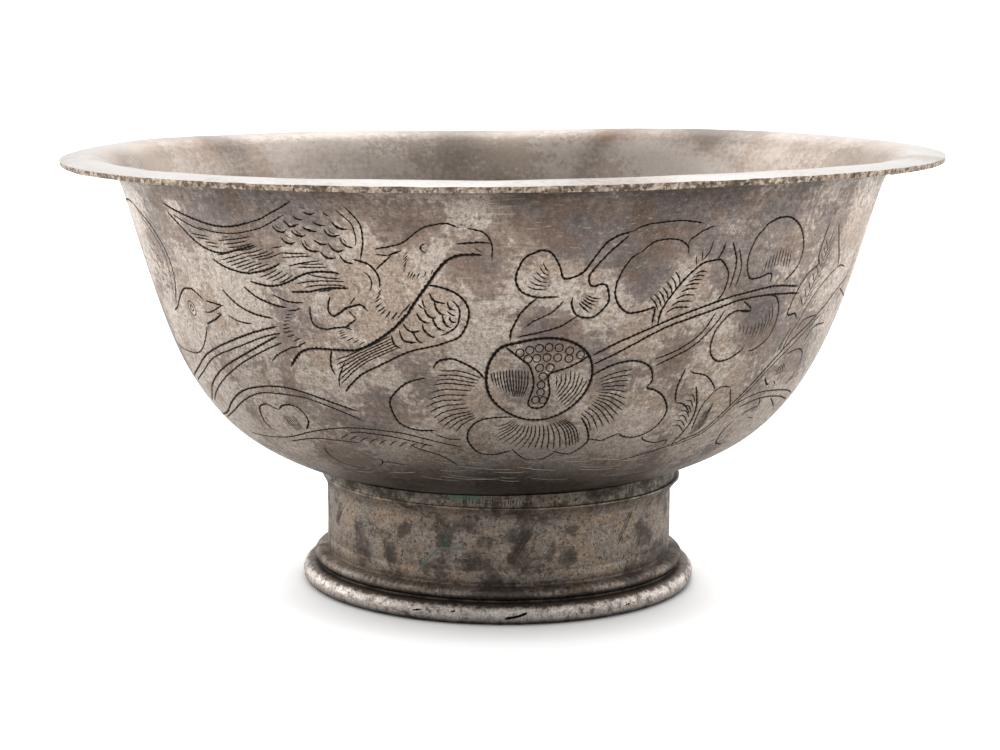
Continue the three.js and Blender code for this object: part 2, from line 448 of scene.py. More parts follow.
def flying_bird():
    upper_wing = lines(
        BOLD,
        [(-55.1, -1.1), (-52, -0.1), (-48, 0.95), (-44, 1.7), (-40.9, 1.75), (-38, 1.2), (-36, 0.6)],
        [(-54.5, 0.3), (-52, 2.4), (-49, 4.9), (-46, 6.25), (-42.7, 6.5), (-39.5, 5.6), (-36.1, 4.6)],
        [(-45.7, 7.8), (-42.8, 9.1), (-38.6, 9.7), (-34.4, 8.6), (-32.2, 7.4)],
        [(-38.6, 11.1), (-35.3, 11.6), (-32.2, 11), (-28.1, 8.9), (-25.1, 8.4), (-22.7, 8.55)],
        [(-31.2, 12.3), (-28.3, 12.1), (-24.9, 11.25), (-21.5, 11)])
    wing_vane = lines(
        PLAIN,
        [(-36.2, 0.65), (-34.5, 0.1), (-33.1, -0.6), (-31.6, -1.5), (-30, -2.4), (-28.4, -3.5)])
    wing_vane += lines(
        FINE,
        [(-47.3, 2.4), (-43.7, 2.9), (-39.5, 2.8), (-35.3, 1.8), (-33.1, 0.85), (-31.5, -0.1), (-30, -1)])
    barbs = lines(
        FINE,
        [(-53, 0.7), (-49.5, 2.1), (-45.9, 3)], [(-49.5, 3.7), (-45.3, 3.9)],
        [(-48.6, 4.3), (-45.3, 4.4)], [(-46.5, 4.9), (-43.5, 5)],
        [(-45.9, 5.5), (-43.5, 5.6)], [(-42, 3.7), (-40.7, 3.4)],
        [(-38.9, 3.7), (-36.5, 3.1)], [(-33.2, 4.9), (-31.1, 4.4)], [(-44.4, 7), (-42.5, 6.7)],
        [(-31.9, 5.6), (-29, 5.5), (-27.5, 5.4)], [(-31.7, 6.4), (-28.4, 6), (-26.6, 5.8)],
        [(-30.8, 7.8), (-28.4, 7.1), (-25.4, 6.5)], [(-28.9, 7.3), (-24.9, 7.1)],
        [(-29.3, 7.9), (-24.5, 7.6)], [(-27.8, 9), (-25.4, 9.4), (-22.7, 9.5)],
        [(-29.9, 10.8), (-27.8, 10.3), (-25.4, 10), (-22.1, 9.9)],
        [(-28.7, 11.4), (-26.9, 10.9), (-23.9, 10.6), (-22.1, 10.7)], [(-26.6, 12), (-24.1, 11.4)])
    barbs += fan(
        FINE, 8, [(-43.2, 4.4), (-40.1, 3.9), (-38, 3.4)], [(-41.2, 5.6), (-38.6, 5.2), (-36.3, 4.5)],
        [(-38.6, 6.7), (-36.3, 6.2), (-34.2, 5.4)], [(-36.2, 7.2), (-33.4, 6.4), (-31.7, 5.6)])
    barbs += fan(
        FINE, 6, [(-43.5, 7.8), (-40.4, 6.9), (-38.9, 6.4)], [(-41.4, 8.9), (-38.9, 8), (-37.1, 7.4)],
        [(-38.6, 9.4), (-36.3, 8.5), (-34.2, 7.7)])
    barbs += fan(
        FINE, 4, [(-36.5, 10.3), (-34.4, 9.4), (-32.9, 8.5)],
        [(-33, 10.9), (-31.4, 10.1), (-30.3, 9.3)])
    wing_scales = lines(
        BOLD,
        [(-32.3, 1), (-31.8, 1.7), (-31.1, 2), (-30.4, 1.9), (-30, 1.5)],
        [(-30.3, -0.1), (-29.8, 0.5), (-29.4, 0.95), (-28.7, 0.8), (-27.9, 0.4)],
        [(-29.3, 1.5), (-28.9, 2.1), (-28.3, 2.4), (-27.6, 2.5), (-27.1, 2.2)],
        [(-31.2, 2.8), (-30.8, 3.5), (-30.2, 3.85), (-29.6, 3.9), (-28.9, 3.5)],
        [(-27.9, 3.4), (-27.6, 4.2), (-27, 4.8), (-26.1, 5), (-25.2, 4.9)],
        [(-26, 2.9), (-25.4, 3.4), (-24.8, 3.7), (-23.9, 3.6)],
        [(-27, -1.7), (-26.4, -1.4), (-25.8, -1.3), (-25.1, -1.6)],
        [(-25.7, -0.2), (-25.2, 0.3), (-24.5, 0.5), (-23.8, 0.5)],
        [(-23.9, -1.9), (-23.6, -1.4), (-23, -1.1)],
        [(-22.9, -0.3), (-22.3, 0.5), (-21.6, 0.9), (-20.6, 1)],
        [(-24.1, 1), (-23.8, 1.8), (-23.1, 2.2), (-22.5, 2.2), (-21.8, 1.9)],
        [(-21.9, 2.4), (-21.6, 3.3), (-20.9, 3.85), (-20.1, 4)],
        [(-23.8, 3.4), (-23.5, 4.1), (-22.8, 4.7), (-22.2, 4.75), (-21.5, 4.4)],
        [(-25.2, 4.9), (-24.8, 5.5), (-24.1, 6), (-22.9, 5.9)],
        [(-22.3, 5.3), (-21.9, 6.1), (-21.3, 6.6), (-20.4, 6.7)],
        [(-28.6, -0.9), (-28, -0.4), (-27.1, -0.35)],
        [(-27.4, 0.8), (-27, 1.2), (-26, 1.5), (-25.2, 1.5)])
    wing_scales += lines(
        PLAIN,
        [(-30.3, 2.3), (-29.9, 2.8), (-29.5, 2.9)], [(-28.6, 1.5), (-28.1, 2), (-27.7, 2)],
        [(-27.4, 3.1), (-27.1, 4), (-26.6, 4.4)], [(-23.5, 1), (-23.2, 1.6), (-22.6, 1.8)],
        [(-31.7, 0.8), (-31.4, 1.3), (-30.9, 1.5)], [(-27, -2.4), (-26.5, -2.2)],
        [(-21.4, 2.6), (-21, 3.3)])
    wing_edge = lines(
        PLAIN,
        [(-20.7, -2.9), (-19.9, -1.8), (-19.3, -0.95), (-18.8, 0), (-18.6, 1.1), (-18.6, 2.5),
         (-18.8, 4.1), (-19.3, 6)])
    wing_edge += lines(
        FINE, [(-22, -2.2), (-20.9, -1.1), (-20, 0), (-19.7, 1.2), (-19.6, 2.8), (-19.9, 3.8)])
    shoulder = lines(
        BOLD, [(-20.4, 6), (-18.9, 6.4), (-17.9, 7), (-17.1, 8.3), (-16.8, 9.6), (-16.9, 10.7)])
    shoulder += lines(FINE, [(-19.1, 8), (-18.3, 8.8), (-18, 9.9), (-18.4, 11.3)])
    head = lines(
        PLAIN,
        [(-17.1, 4.1), (-14, 3.3), (-12.4, 2.3), (-11.1, 1), (-9.9, 0.2), (-7.4, -0.4), (-6.5, -0.15),
         (-5.5, 0.4)],
        [(-17.2, 7.7), (-16.5, 6.8), (-14.9, 5.2)],
        [(-6, 3), (-4.1, 2.8), (-2.6, 2.7), (-1.3, 2.9)],
        [(-4.5, 0.4), (-3.5, 0.6), (-2.4, 1), (-1.6, 2), (-1.2, 3.4), (-1.2, 5.7)])
    head += lines(FINE, [(-17.1, 5), (-15, 5.2)], [(-3.6, 3.6), (-2.5, 4.4)])
    head += lines(
        BROAD,
        [(-2.6, 4.85), (-4.8, 4.85), (-6.2, 5.2), (-7.4, 6), (-8.3, 7.1), (-10, 9.9), (-11.8, 12.7),
         (-13.6, 15.7), (-16, 18.3), (-18.3, 20.1), (-21.4, 21.9), (-23.9, 22.2), (-28.8, 22.3),
         (-30.6, 22.7), (-32.2, 23.6), (-34.5, 26.2)])
    head += lines(BOLD, [(-15.3, 5.3), (-14.6, 4.8), (-13.4, 4.2)])
    head += lines(PLAIN, [(-10, 3), (-10.6, 3.3), (-10.75, 3.8), (-10.5, 4.3), (-10, 4.5)])
    cheek = fan(FINE, 6, [(-12.4, 4.4), (-13.2, 5.4)], [(-12.9, 7.0), (-13.4, 8.0)])
    cheek += fan(PLAIN, 6, [(-12.3, 7.7), (-12.8, 8.7)], [(-11.5, 8.1), (-12, 9.2)],
                 [(-9.2, 7.3), (-9.5, 8.2)])
    neck_feathers = lines(
        PLAIN,
        [(-17.3, 11.9), (-16.6, 10.95)], [(-17.7, 12.7), (-16.8, 11.6)], [(-17.9, 13.2), (-16.8, 12.4)],
        [(-17.9, 14.2), (-16.9, 13.3)], [(-17.6, 14.9), (-16.4, 13.9)], [(-17.2, 15.3), (-16.3, 14.4)],
        [(-16.6, 15.9), (-15.6, 14.6)], [(-15.7, 16.1), (-14.6, 14.7)], [(-14.7, 15.9), (-14.2, 15.1)],
        [(-14.3, 15.4), (-13.7, 14.25)], [(-13.7, 14.6), (-12.7, 13.25)])
    return (upper_wing + wing_vane + barbs + wing_scales + wing_edge + shoulder + head + cheek
            + neck_feathers)


def bird_lower_wing():
    outline = lines(
        BOLD,
        [(-10, 10.05), (-8.6, 10.25), (-6.3, 11.25), (-4.8, 13), (-4.4, 15), (-5, 17.4), (-6.1, 19.05),
         (-8.6, 20.25), (-10.9, 20.95), (-13.9, 22), (-17.9, 24.3), (-21.5, 26.4), (-24, 28.75),
         (-25.2, 30.1)],
        [(-26, 22.3), (-26.5, 24), (-26.7, 25.5), (-26.3, 27)])
    outline += lines(
        PLAIN,
        [(-6.8, 12.5), (-6, 13.5), (-5.7, 14.5), (-6.1, 16.75), (-7.4, 18.1), (-8.6, 18.7)],
        [(-24.1, 24.2), (-25, 25.9), (-25.8, 27.7), (-26, 29.2)])
    quills = fan(
        FINE, 6, [(-16.1, 19.1), (-18.9, 20.75), (-21.3, 22), (-23.6, 23.2), (-25.7, 24.1)],
        [(-15, 21.2), (-17.9, 22.6), (-20.8, 24.3), (-23.1, 26.2), (-25.6, 28.6)])
    feathers = lines(
        BOLD,
        [(-9.9, 11.25), (-9.4, 12.5), (-8.4, 13), (-7.7, 13.1)],
        [(-10.9, 12.5), (-10.8, 13.5), (-10.4, 13.9)], [(-11.6, 13.25), (-11.1, 13.9), (-10.7, 14)],
        [(-9.25, 12.75), (-9.1, 13.75), (-8.6, 14.75), (-7.8, 15.1)],
        [(-10.7, 14), (-10.4, 15), (-9.8, 15.6), (-9.1, 15.55)],
        [(-11.9, 14.75), (-11.5, 15.75), (-10.8, 16.4), (-10.1, 16.5)],
        [(-7.4, 12.75), (-7.3, 13.6), (-6.9, 14.1), (-6.3, 14.2)],
        [(-7.5, 14.4), (-6.9, 15), (-6.3, 15.25)],
        [(-9.6, 15.6), (-9.4, 16.5), (-8.8, 17.5), (-8, 17.8)],
        [(-8.2, 15), (-8.1, 16), (-7.6, 17), (-6.9, 17.25)],
        [(-7.1, 15.25), (-7.2, 15.9), (-6.7, 16.3), (-6.2, 16.25)],
        [(-11.1, 16.75), (-11, 17.75), (-9.9, 18.95), (-9.3, 18.9)],
        [(-14, 16.75), (-13.6, 17.6), (-12.7, 18.25), (-11.5, 17.9)],
        [(-14.6, 18), (-14.5, 19), (-14, 19.9), (-12.2, 20.1)],
        [(-12.6, 18.25), (-12.3, 19.1), (-11.8, 19.9), (-11.2, 20.1)],
        [(-15.9, 18.9), (-15.8, 19.9), (-15.5, 20.75), (-14.6, 21.2)])
    return outline + quills + feathers


def bird_body():
    folds = lines(
        BOLD,
        [(-24.7, 12.6), (-25.4, 14.9), (-24.9, 16), (-24.2, 15.9), (-22.5, 14.6), (-20.4, 13.8),
         (-19.7, 14.1), (-19.1, 14.9)],
        [(-21, 16.4), (-22.3, 17.4), (-22.8, 17.9), (-25, 18.3), (-26.5, 18.6), (-28.3, 17.9),
         (-28.6, 15.75), (-28.3, 14.5)],
        [(-45.3, 13.2), (-42.5, 15.7), (-39.1, 17), (-35.6, 17.4)],
        [(-40.2, 12.1), (-37.8, 13.9), (-34.4, 15), (-32.5, 15.2)])
    folds += lines(
        PLAIN,
        [(-20.8, 12.5), (-21.25, 13.25), (-21.8, 14)], [(-22.2, 14.9), (-21.5, 15.75), (-21, 16.4)],
        [(-23.4, 17.9), (-22, 18.3)], [(-34.7, 13.1), (-32.1, 14.1), (-29.4, 14.1)],
        [(-45.6, 17.9), (-43.1, 18.8), (-40.3, 18.9)],
        [(-38.2, 25.7), (-36.9, 24.4), (-33.8, 22.7), (-31.3, 22)],
        [(-32.5, 15.75), (-31.2, 15.55), (-30.1, 15.1)])
    tail_feathers = fan(
        PLAIN, 9, [(-33, 16.5), (-31.8, 16.3)], [(-34, 18.2), (-32.8, 17.95)],
        [(-34.2, 20.1), (-32.6, 19.6)], [(-31.9, 22), (-30.3, 21.2)])
    belly_feathers = fan(
        FINE, 7, [(-24.3, 18.9), (-23.5, 18.4)], [(-24.2, 20.1), (-22.8, 19.5)],
        [(-21.3, 21), (-20.2, 20.3)])
    tail = lines(
        BOLD,
        [(-72, 33.8), (-64, 30.7), (-56, 26.6), (-48, 23.3), (-40, 20.3), (-35.2, 18.8)],
        [(-68, 38.3), (-64, 36), (-60, 33.3), (-52, 28.7), (-44, 24.9), (-35.8, 20.7)])
    tail += lines(
        PLAIN,
        [(-70, 34.3), (-62, 31.2), (-54, 27), (-46, 24), (-38, 20.9), (-34.8, 20)],
        [(-66, 38.1), (-58, 33.7), (-50, 29.2), (-42, 25), (-34.9, 21.7)])
    return folds + tail_feathers + belly_feathers + tail


def lower_stems():
    stems = lines(
        BOLD,
        [(-70, 42.1), (-62, 39.9), (-54, 35.5), (-50, 33.4), (-46, 31.9), (-38.9, 30.6), (-32.5, 31.3),
         (-24.1, 33.9)],
        [(-41, 35.7), (-40, 34.8), (-38.5, 34.3), (-36.9, 34.3), (-35.8, 34.9), (-35.1, 36.2),
         (-35.2, 37.7), (-36.7, 39.7)],
        [(-41, 35.8), (-42.2, 35.5), (-43.8, 35), (-45.3, 35.4), (-46.6, 36.4), (-47.4, 39.6),
         (-46.1, 41.4)],
        [(-35, 44), (-35.2, 46.6), (-33.1, 48.8), (-30, 49.7), (-28.2, 49.4)])
    stems += lines(
        PLAIN,
        [(-66, 42), (-58, 39), (-50, 35), (-46, 33.3), (-42, 32.3), (-33.8, 32.2), (-28.2, 33.8),
         (-23.4, 35.9)],
        [(-58, 44.4), (-48, 43.4), (-42, 42.2), (-33.8, 39.4), (-26, 37.8), (-17.4, 38.1),
         (-12.4, 39.4), (-6.8, 41)],
        [(-43.4, 43.7), (-36, 41.7), (-31.3, 41.4), (-26, 41.4)],
        [(-27, 39.2), (-24.9, 38.7), (-18.6, 39.2), (-11.8, 41)],
        [(-15.8, 40.7), (-14.6, 41.8), (-10.5, 43.6), (-7.9, 46.2)],
        [(-22.9, 45.5), (-23.3, 47), (-24.6, 48.1)], [(-22.1, 45.9), (-20.8, 46.6), (-18, 46.9)])
    veins = fan(FINE, 6, [(-40.8, 36.9), (-40.5, 38.4), (-39.4, 40.3)],
                [(-38.4, 36.6), (-37.9, 37.8), (-37.6, 39.9)])
    veins += fan(FINE, 9, [(-29.6, 40.9), (-28.2, 39.9), (-27.2, 39.5)],
                 [(-14.2, 41.8), (-13.4, 40.9), (-12.6, 40.5)])
    return stems + veins


def perched_bird():
    head = lines(
        BOLD,
        [(-63.8, 19.4), (-61.5, 18.4), (-59.2, 16.4), (-56.7, 14.6), (-55.1, 14.2), (-53.3, 14.3),
         (-51, 15.9)],
        [(-50.5, 15.9), (-46.1, 16.3)], [(-52.2, 20.4), (-49.2, 19.1), (-47, 17.8)],
        [(-69.2, 0.3), (-66.1, 1.6), (-62.3, 3.7), (-59.7, 6.8), (-58.7, 10.3), (-59.3, 14),
         (-62, 18.1)])
    head += lines(
        PLAIN,
        [(-51.7, 18.1), (-50, 17.9), (-46.4, 16.3)],
        [(-52.5, 21), (-54.1, 23.1), (-56.7, 25.5), (-59.5, 26.9), (-62.9, 27.5), (-68, 27.7)])
    head += lines(
        FINE,
        [(-48.4, 18), (-47, 17.7)],
        [(-67.3, 1.6), (-63.6, 4.2), (-60.9, 7), (-60, 10.7), (-61.4, 15.9)])
    head += ring(FINE, -55.6, 17.9, 1.35) + ring(FINE, -55.6, 17.9, 0.55)
    throat_feathers = fan(
        FINE, 8, [(-60.2, 17.9), (-59.5, 18.5)], [(-59.6, 21.6), (-58.8, 21.1)],
        [(-56.1, 23.6), (-56, 22.6)])
    wing_scales = scales(
        FINE, 0.5, (-64.6, 8.2), (-63.3, 9.4), (-65.2, 10.4), (-63.6, 11.6), (-65.4, 12.8), (-63.8, 13.9),
        (-65.8, 15.2), (-64.3, 6.2), (-66.4, 7.4), (-67, 9.5), (-67.2, 11.8))
    hidden_side = lines(
        BOLD,
        [(-69.2, 0.3), (-74, 0.1), (-80, 1.6), (-86, 4.4), (-91, 8)],
        [(-80, 9.8), (-84, 12.4), (-88, 16)], [(-80, 15.6), (-85, 19), (-89, 23)],
        [(-68, 27.7), (-73, 27.2), (-79, 25), (-84, 23.6)])
    hidden_side += fan(FINE, 7, [(-81, 4.2), (-85, 6.6)], [(-80, 14), (-84, 17)])
    return head + throat_feathers + wing_scales + hidden_side


def pomegranate():
    fruit = closed(
        BROAD,
        [(2.4, 19.9), (6.5, 19.1), (10.2, 19.8), (13, 22.1), (14.1, 25.5), (13.5, 29.2), (11, 32.7),
         (7.4, 34.7), (3.4, 34.4), (-0.1, 32), (-1.9, 28.8), (-1.9, 24.4), (-0.2, 21)])
    fruit += lines(
        BOLD,
        [(0.8, 20.7), (3.4, 23.1), (4.5, 24.4), (5.2, 27.7), (4.5, 31), (4.9, 32), (6, 32.3),
         (7.1, 31.6), (7.7, 29.2), (7.3, 26.6), (7.7, 25.5), (10.9, 24.2), (13.4, 22.3)])
    seeds = [(2.9, 21.7), (4.3, 21.2), (5.7, 20.9), (7.1, 20.8), (8.6, 20.9), (10.2, 21.5), (11.9, 22.3),
             (4.1, 22.8), (5.4, 22.7), (6.9, 22.6), (8.5, 22.7), (10.2, 22.9), (5.9, 24.5), (7.5, 24.5),
             (6.5, 26.1), (6.3, 27.7), (6.3, 29.1), (5.6, 30.6), (6.8, 30.7)]
    for azimuth, run in seeds:
        fruit += ring(FINE, azimuth, run, 0.74)
    left_cheek = fan(
        FINE, 13, [(-1.4, 25.2), (-1.2, 26.4), (-0.9, 27.6)], [(1.4, 24.6), (1.6, 27.2), (2.1, 29.9)],
        [(4.2, 24.9), (4.2, 27.6), (3.5, 30)])
    right_cheek = fan(
        FINE, 8, [(8.5, 25.9), (8.7, 27), (8.6, 28.2)], [(11, 24.9), (10.9, 27.9), (8.9, 30.9)],
        [(13.4, 27), (12.4, 29.6), (10.5, 32.3)])
    skirt = fan(
        FINE, 20, [(2.2, 34.7), (1.2, 35.5), (-0.4, 36.2)], [(3.3, 35.6), (2.1, 37.2), (-0.6, 39.4)],
        [(5.1, 36), (4.9, 38.4), (3.4, 41.2)], [(7.5, 35.9), (7.9, 38.4), (7.9, 41.9)],
        [(9.4, 35.1), (11.2, 37.6), (12.2, 41.4)], [(10.6, 34.7), (12.8, 36.8), (14, 40.3)])
    petals = lines(
        BOLD,
        [(2.1, 34.1), (-1.3, 34.3), (-3.6, 35.1), (-5.2, 37.3), (-5.4, 39.4), (-4.1, 42), (-2.6, 42.8),
         (-0.4, 42.8), (2.1, 41.8)],
        [(13.4, 34.4), (14.9, 37), (15.6, 39.9), (14.3, 42.1), (12.4, 43.3), (9.6, 42.3)],
        [(-11.3, 26.5), (-14.6, 27.8), (-17.2, 30.5), (-17.8, 32.5), (-16.8, 35.9), (-14, 37.3),
         (-10.8, 37.2)],
        [(-10.1, 24.7), (-9.3, 23.4), (-8, 22.9), (-6.5, 23), (-3.5, 24.9), (-2.3, 26.6)],
        [(14, 26.2), (17.2, 24.4), (20.7, 23.9), (23.5, 25.3), (24.4, 27.9), (23.7, 29.2), (25.4, 29.9),
         (27.5, 31.6), (29, 34.7), (27.9, 38.1), (25, 39.9), (22.2, 39.6), (21, 38.6)],
        [(21, 38.6), (19.1, 39.6), (17.9, 40.1), (15.5, 39.4)])
    petals += lines(
        PLAIN,
        [(2.2, 41.4), (4.3, 44), (6.2, 44.7), (8, 44.4), (10.2, 42.5)],
        [(-11, 38.1), (-8.6, 39.1), (-6.5, 39.1)])
    left_petal = fan(
        FINE, 13, [(-9, 25.1), (-6, 25.1), (-2.8, 26.3)], [(-10.2, 27.9), (-8, 27.4), (-3.8, 27.9)],
        [(-11.8, 32.2), (-9.3, 30.9), (-5.6, 30.6)], [(-10.4, 35.7), (-8, 33.9), (-4.6, 32.9)],
        [(-7.4, 37.4), (-6, 35.6), (-3.8, 34.1)])
    right_petal = fan(
        FINE, 14, [(15.3, 27), (17.6, 26), (20.6, 25.4)], [(16, 28.7), (18, 28.6), (20.2, 28.8)],
        [(15.6, 30.3), (17.8, 31), (20.6, 33)], [(14.8, 31.6), (16.8, 33.2), (19, 36.2)],
        [(13.2, 33.6), (14.6, 35), (15.6, 37.4)])
    return fruit + left_cheek + right_cheek + skirt + petals + left_petal + right_petal


def leaf_pair():
    outline = lines(
        BOLD,
        [(8, 12), (4.9, 12), (2.7, 10.9), (2, 8.6), (2.9, 5.7), (4.1, 4.6), (5.5, 4), (6.8, 4.6),
         (7.9, 6.8), (8.4, 8.6), (9.3, 8.9), (11.3, 7.7), (13, 4.7), (14.8, 2.3), (17.6, 1.2)],
        [(17.1, 2), (14.6, 4.7), (12.4, 7.9), (12.1, 9.2), (12.6, 10.3), (14, 10), (14.8, 10.5),
         (15.2, 13.1), (13.7, 15.3), (12.4, 15.8), (10.7, 15.2), (9.9, 13.3), (10, 12.1)],
        [(5, 12.1), (2.9, 14.6), (1.6, 17.7), (1.4, 19.6)],
        [(10.9, 15.4), (8, 17.4), (2.4, 18.9)])
    outline += lines(PLAIN, [(8.8, 12.7), (7.1, 14.7), (4.6, 16.2), (3.4, 17.3)],
                     [(17.6, 1.2), (19.4, 0.2), (24.1, -0.25), (27.9, 0.4)])
    veins = fan(FINE, 6, [(5.6, 6), (6, 7.1), (6.6, 7.8)], [(3.5, 10), (4.6, 10.6), (6.2, 10.7)])
    veins += fan(
        PLAIN, 5, [(10.9, 13.1), (11.5, 13.8), (12.6, 14.9)], [(12, 11.8), (13, 12.4), (14, 12.4)])
    return outline + veins


def broad_leaf():
    outline = lines(
        BOLD,
        [(19, 4.9), (17.7, 6), (16.2, 9.6), (16.3, 12.7), (18.2, 15.1), (20.7, 14.9), (22.2, 14.4),
         (22.4, 14.8), (22.4, 17.7)],
        [(23.3, 17.6), (23.6, 14.7), (25.7, 10.7), (28.5, 7.5), (31.1, 6.8), (32.2, 7.1), (33.8, 9.6),
         (33.5, 12.9), (32.5, 14.2)],
        [(31.1, 6.8), (31.8, 5.5), (32.1, 3.8)],
        [(33.3, 3.9), (34.7, 7.3), (34.7, 10.7), (34.4, 12.1)])
    outline += lines(
        PLAIN,
        [(19, 4.9), (21, 3), (24, 2.8), (25.9, 4), (26.3, 5.5)],
        [(26, 4), (26.3, 2.9), (28, 1.6), (29.7, 0.9)], [(30, 3.4), (29.6, 5.5), (28.6, 6.8)],
        [(28.5, 4.9), (28.6, 6.8)], [(27.6, 5.9), (27.8, 7.5)],
        [(34.7, 5.1), (35.9, 8.8), (35.5, 12.1)])
    veins = fan(
        PLAIN, 8, [(27.9, 9), (29, 8.6), (29.9, 8.8)], [(26.3, 11.4), (27.5, 11), (28.8, 11.1)],
        [(24.3, 15.6), (25.6, 14.7), (28.2, 14.8)])
    veins += fan(
        PLAIN, 7, [(24.6, 8.3), (25.4, 9.4), (25.7, 10.5)], [(23, 10.9), (23.9, 12), (24.2, 13.2)],
        [(21.3, 12.6), (22.3, 13.6), (22.9, 15)])
    return outline + veins


def bud_and_round_leaf():
    outline = lines(
        BOLD,
        [(39.3, 1.2), (37.4, 3.8), (36.8, 7.5), (38, 10.5), (39.9, 10.7), (42.1, 10.1), (42.7, 10.9),
         (42.4, 12.1)],
        [(38.6, 1.5), (41.1, 0.4), (43.9, 0.7), (46.7, 2.9), (48.5, 6.6), (48, 9.9), (45.8, 12.1)],
        [(40, 16.6), (36.3, 16.6), (33.9, 19.6), (33.9, 23.3), (36, 25.4), (38.8, 25), (41, 23.4)],
        [(38, 16.5), (39.7, 16.7), (40, 16.2), (38, 14.7)],
        [(42.1, 14), (45.2, 14.7), (46.9, 18.1), (46.3, 22.1), (43.6, 24.1), (42.1, 24.2)])
    veins = fan(
        FINE, 9, [(40.7, 9.8), (40.7, 7.5)], [(43.2, 8.8), (43.1, 5.6)], [(46, 9.6), (45.6, 6.6)])
    veins += fan(
        FINE, 10, [(38.4, 18.8), (38.8, 19.6), (38.9, 20.3)],
        [(41.3, 19.5), (41.4, 20.6), (41.2, 21.6)],
        [(43.3, 18.2), (43.7, 20), (43.5, 21.8)], [(44.6, 16), (45.5, 17.8), (45.4, 20)])
    return outline + veins


def right_stems():
    stems = lines(
        BOLD,
        [(13.7, 22.5), (18, 20.1), (24, 17.3), (28, 15.7), (34, 13.9), (38, 13.2), (44, 12.6),
         (50, 13.3)],
        [(14.1, 24.1), (18, 22), (24, 18.5), (28, 17), (34, 15.2), (38, 14.3), (44, 14.1),
         (50.8, 14.6)],
        [(24, 46.2), (32, 43.9), (36, 42.1), (40, 40.1), (44, 34.6), (48.9, 28.6), (53.6, 24),
         (60, 20.1), (66, 16.1), (70.5, 14)])
    stems += lines(
        PLAIN,
        [(24, 23.9), (28, 22.3), (31.3, 19.6), (33, 16.2)],
        [(24.4, 25.1), (30, 22.2), (33.2, 18.8), (34.7, 15.9)],
        [(34, 43.6), (40.2, 41), (44.9, 34.7), (50.2, 28.6), (54.2, 25.3), (62, 19.9)],
        [(68, 16), (72, 17.4), (78, 19.1)],
        [(44.4, 35.5), (48, 34.1), (52.7, 33.8), (62, 35.1), (68.8, 37)],
        [(46.4, 36.2), (52, 35.2), (60, 36.1), (68, 38.3)])
    sprays = lines(
        BOLD,
        [(30, 26.2), (29.5, 29.9), (30.1, 32.9)],
        [(33.2, 29.9), (34.9, 34), (35.3, 38.1), (33.9, 42.9)])
    sprays += lines(
        PLAIN,
        [(30.1, 32.9), (32.2, 33.6), (34.1, 35.7)],
        [(31, 26.4), (31.6, 27.1), (34.7, 28.1), (37.2, 30.5), (37.3, 31.4)],
        [(26, 39.9), (26.8, 41), (29.7, 42), (31.9, 41.6), (31.9, 42.9)],
        [(41.3, 31.1), (38.5, 30.9), (36.6, 33.3), (36.1, 35.9), (36.6, 39.9)],
        [(41.3, 31.4), (42.7, 34), (43.5, 35.3)])
    sprays += fan(
        FINE, 7, [(32.2, 31.6), (33.4, 31.9), (34.2, 33.4)], [(31.4, 38.2), (32.9, 38.2), (34.6, 39.8)])
    sprays += fan(
        FINE, 11, [(38.6, 34), (38.2, 35.4), (37, 36.4)], [(39.4, 38.6), (38.2, 39.9), (36.4, 41)])
    return stems + sprays


def fern_spray():
    outline = lines(
        BOLD,
        [(53.8, 2.3), (53.5, 7.9), (54.2, 9.9), (51.7, 11.4), (50, 14.7), (49.5, 18.3), (51.7, 18.5),
         (52.8, 19.7)],
        [(57, 2.9), (59.5, 6.8), (61.6, 9.9), (61.9, 11.4)],
        [(51.9, 21.2), (50.8, 24.4), (50.6, 25.8)],
        [(50, 30.5), (51.7, 32.1), (52.8, 32.3)],
        [(47.7, 39.4), (46.7, 42.1), (48, 45.3), (51.4, 46.6)])
    outline += lines(
        PLAIN,
        [(61.9, 11.4), (58.9, 13.1), (55.8, 16.2), (53.9, 19.9), (52.2, 23.3), (52, 25.8)],
        [(61.9, 11.4), (63.4, 11.1), (65.8, 11.7)], [(54.2, 22.1), (55.5, 20.2), (59.8, 19.9)],
        [(53.9, 31.9), (55, 32.7), (54.5, 33.3)],
        [(54.2, 26.5), (58, 26.1), (60.8, 27.5), (61.9, 31), (59.8, 33.6)],
        [(52.2, 35.2), (53.5, 37), (51.7, 37.4), (48.8, 38.3)], [(56.7, 35.9), (61.4, 38.6)],
        [(59, 25), (61, 22.3), (66, 22.3)], [(54.2, 1), (55.2, 0)])
    rib = [(56, 4), (55.6, 8), (54.6, 13), (53.4, 18)]
    outline += lines(FINE, rib, [(52.4, 39.6), (55.2, 40.3)])
    barbs = fan(
        FINE, 10, [(57.4, 5.2), (55.9, 6.6)], [(57, 9.4), (55.2, 11)], [(55.4, 15.4), (53.7, 17.2)])
    barbs += fan(
        FINE, 9, [(54.4, 5.6), (55.6, 7)], [(53.8, 10), (54.9, 11.6)], [(51.6, 15.2), (53.4, 17.4)])
    barbs += fan(
        FINE, 5, [(52.3, 29.6), (53.3, 29.7), (54.2, 30.8)], [(54.2, 28.4), (55.2, 29), (55.7, 29.9)])
    return outline + barbs


turn_to_back = 197
turn_to_right_side = 43
turn_past_right_side = 104
front_plants = pomegranate() + leaf_pair() + broad_leaf() + bud_and_round_leaf() + right_stems()
front_bird = flying_bird() + bird_lower_wing() + bird_body() + lower_stems()
engraving = front_bird + front_plants + perched_bird() + fern_spray()
engraving += moved(front_bird, turn_to_back) + moved(front_plants, turn_to_back)
engraving += moved(bud_and_round_leaf() + fern_spray(), turn_to_right_side)
engraving += moved(leaf_pair() + broad_leaf(), turn_past_right_side)


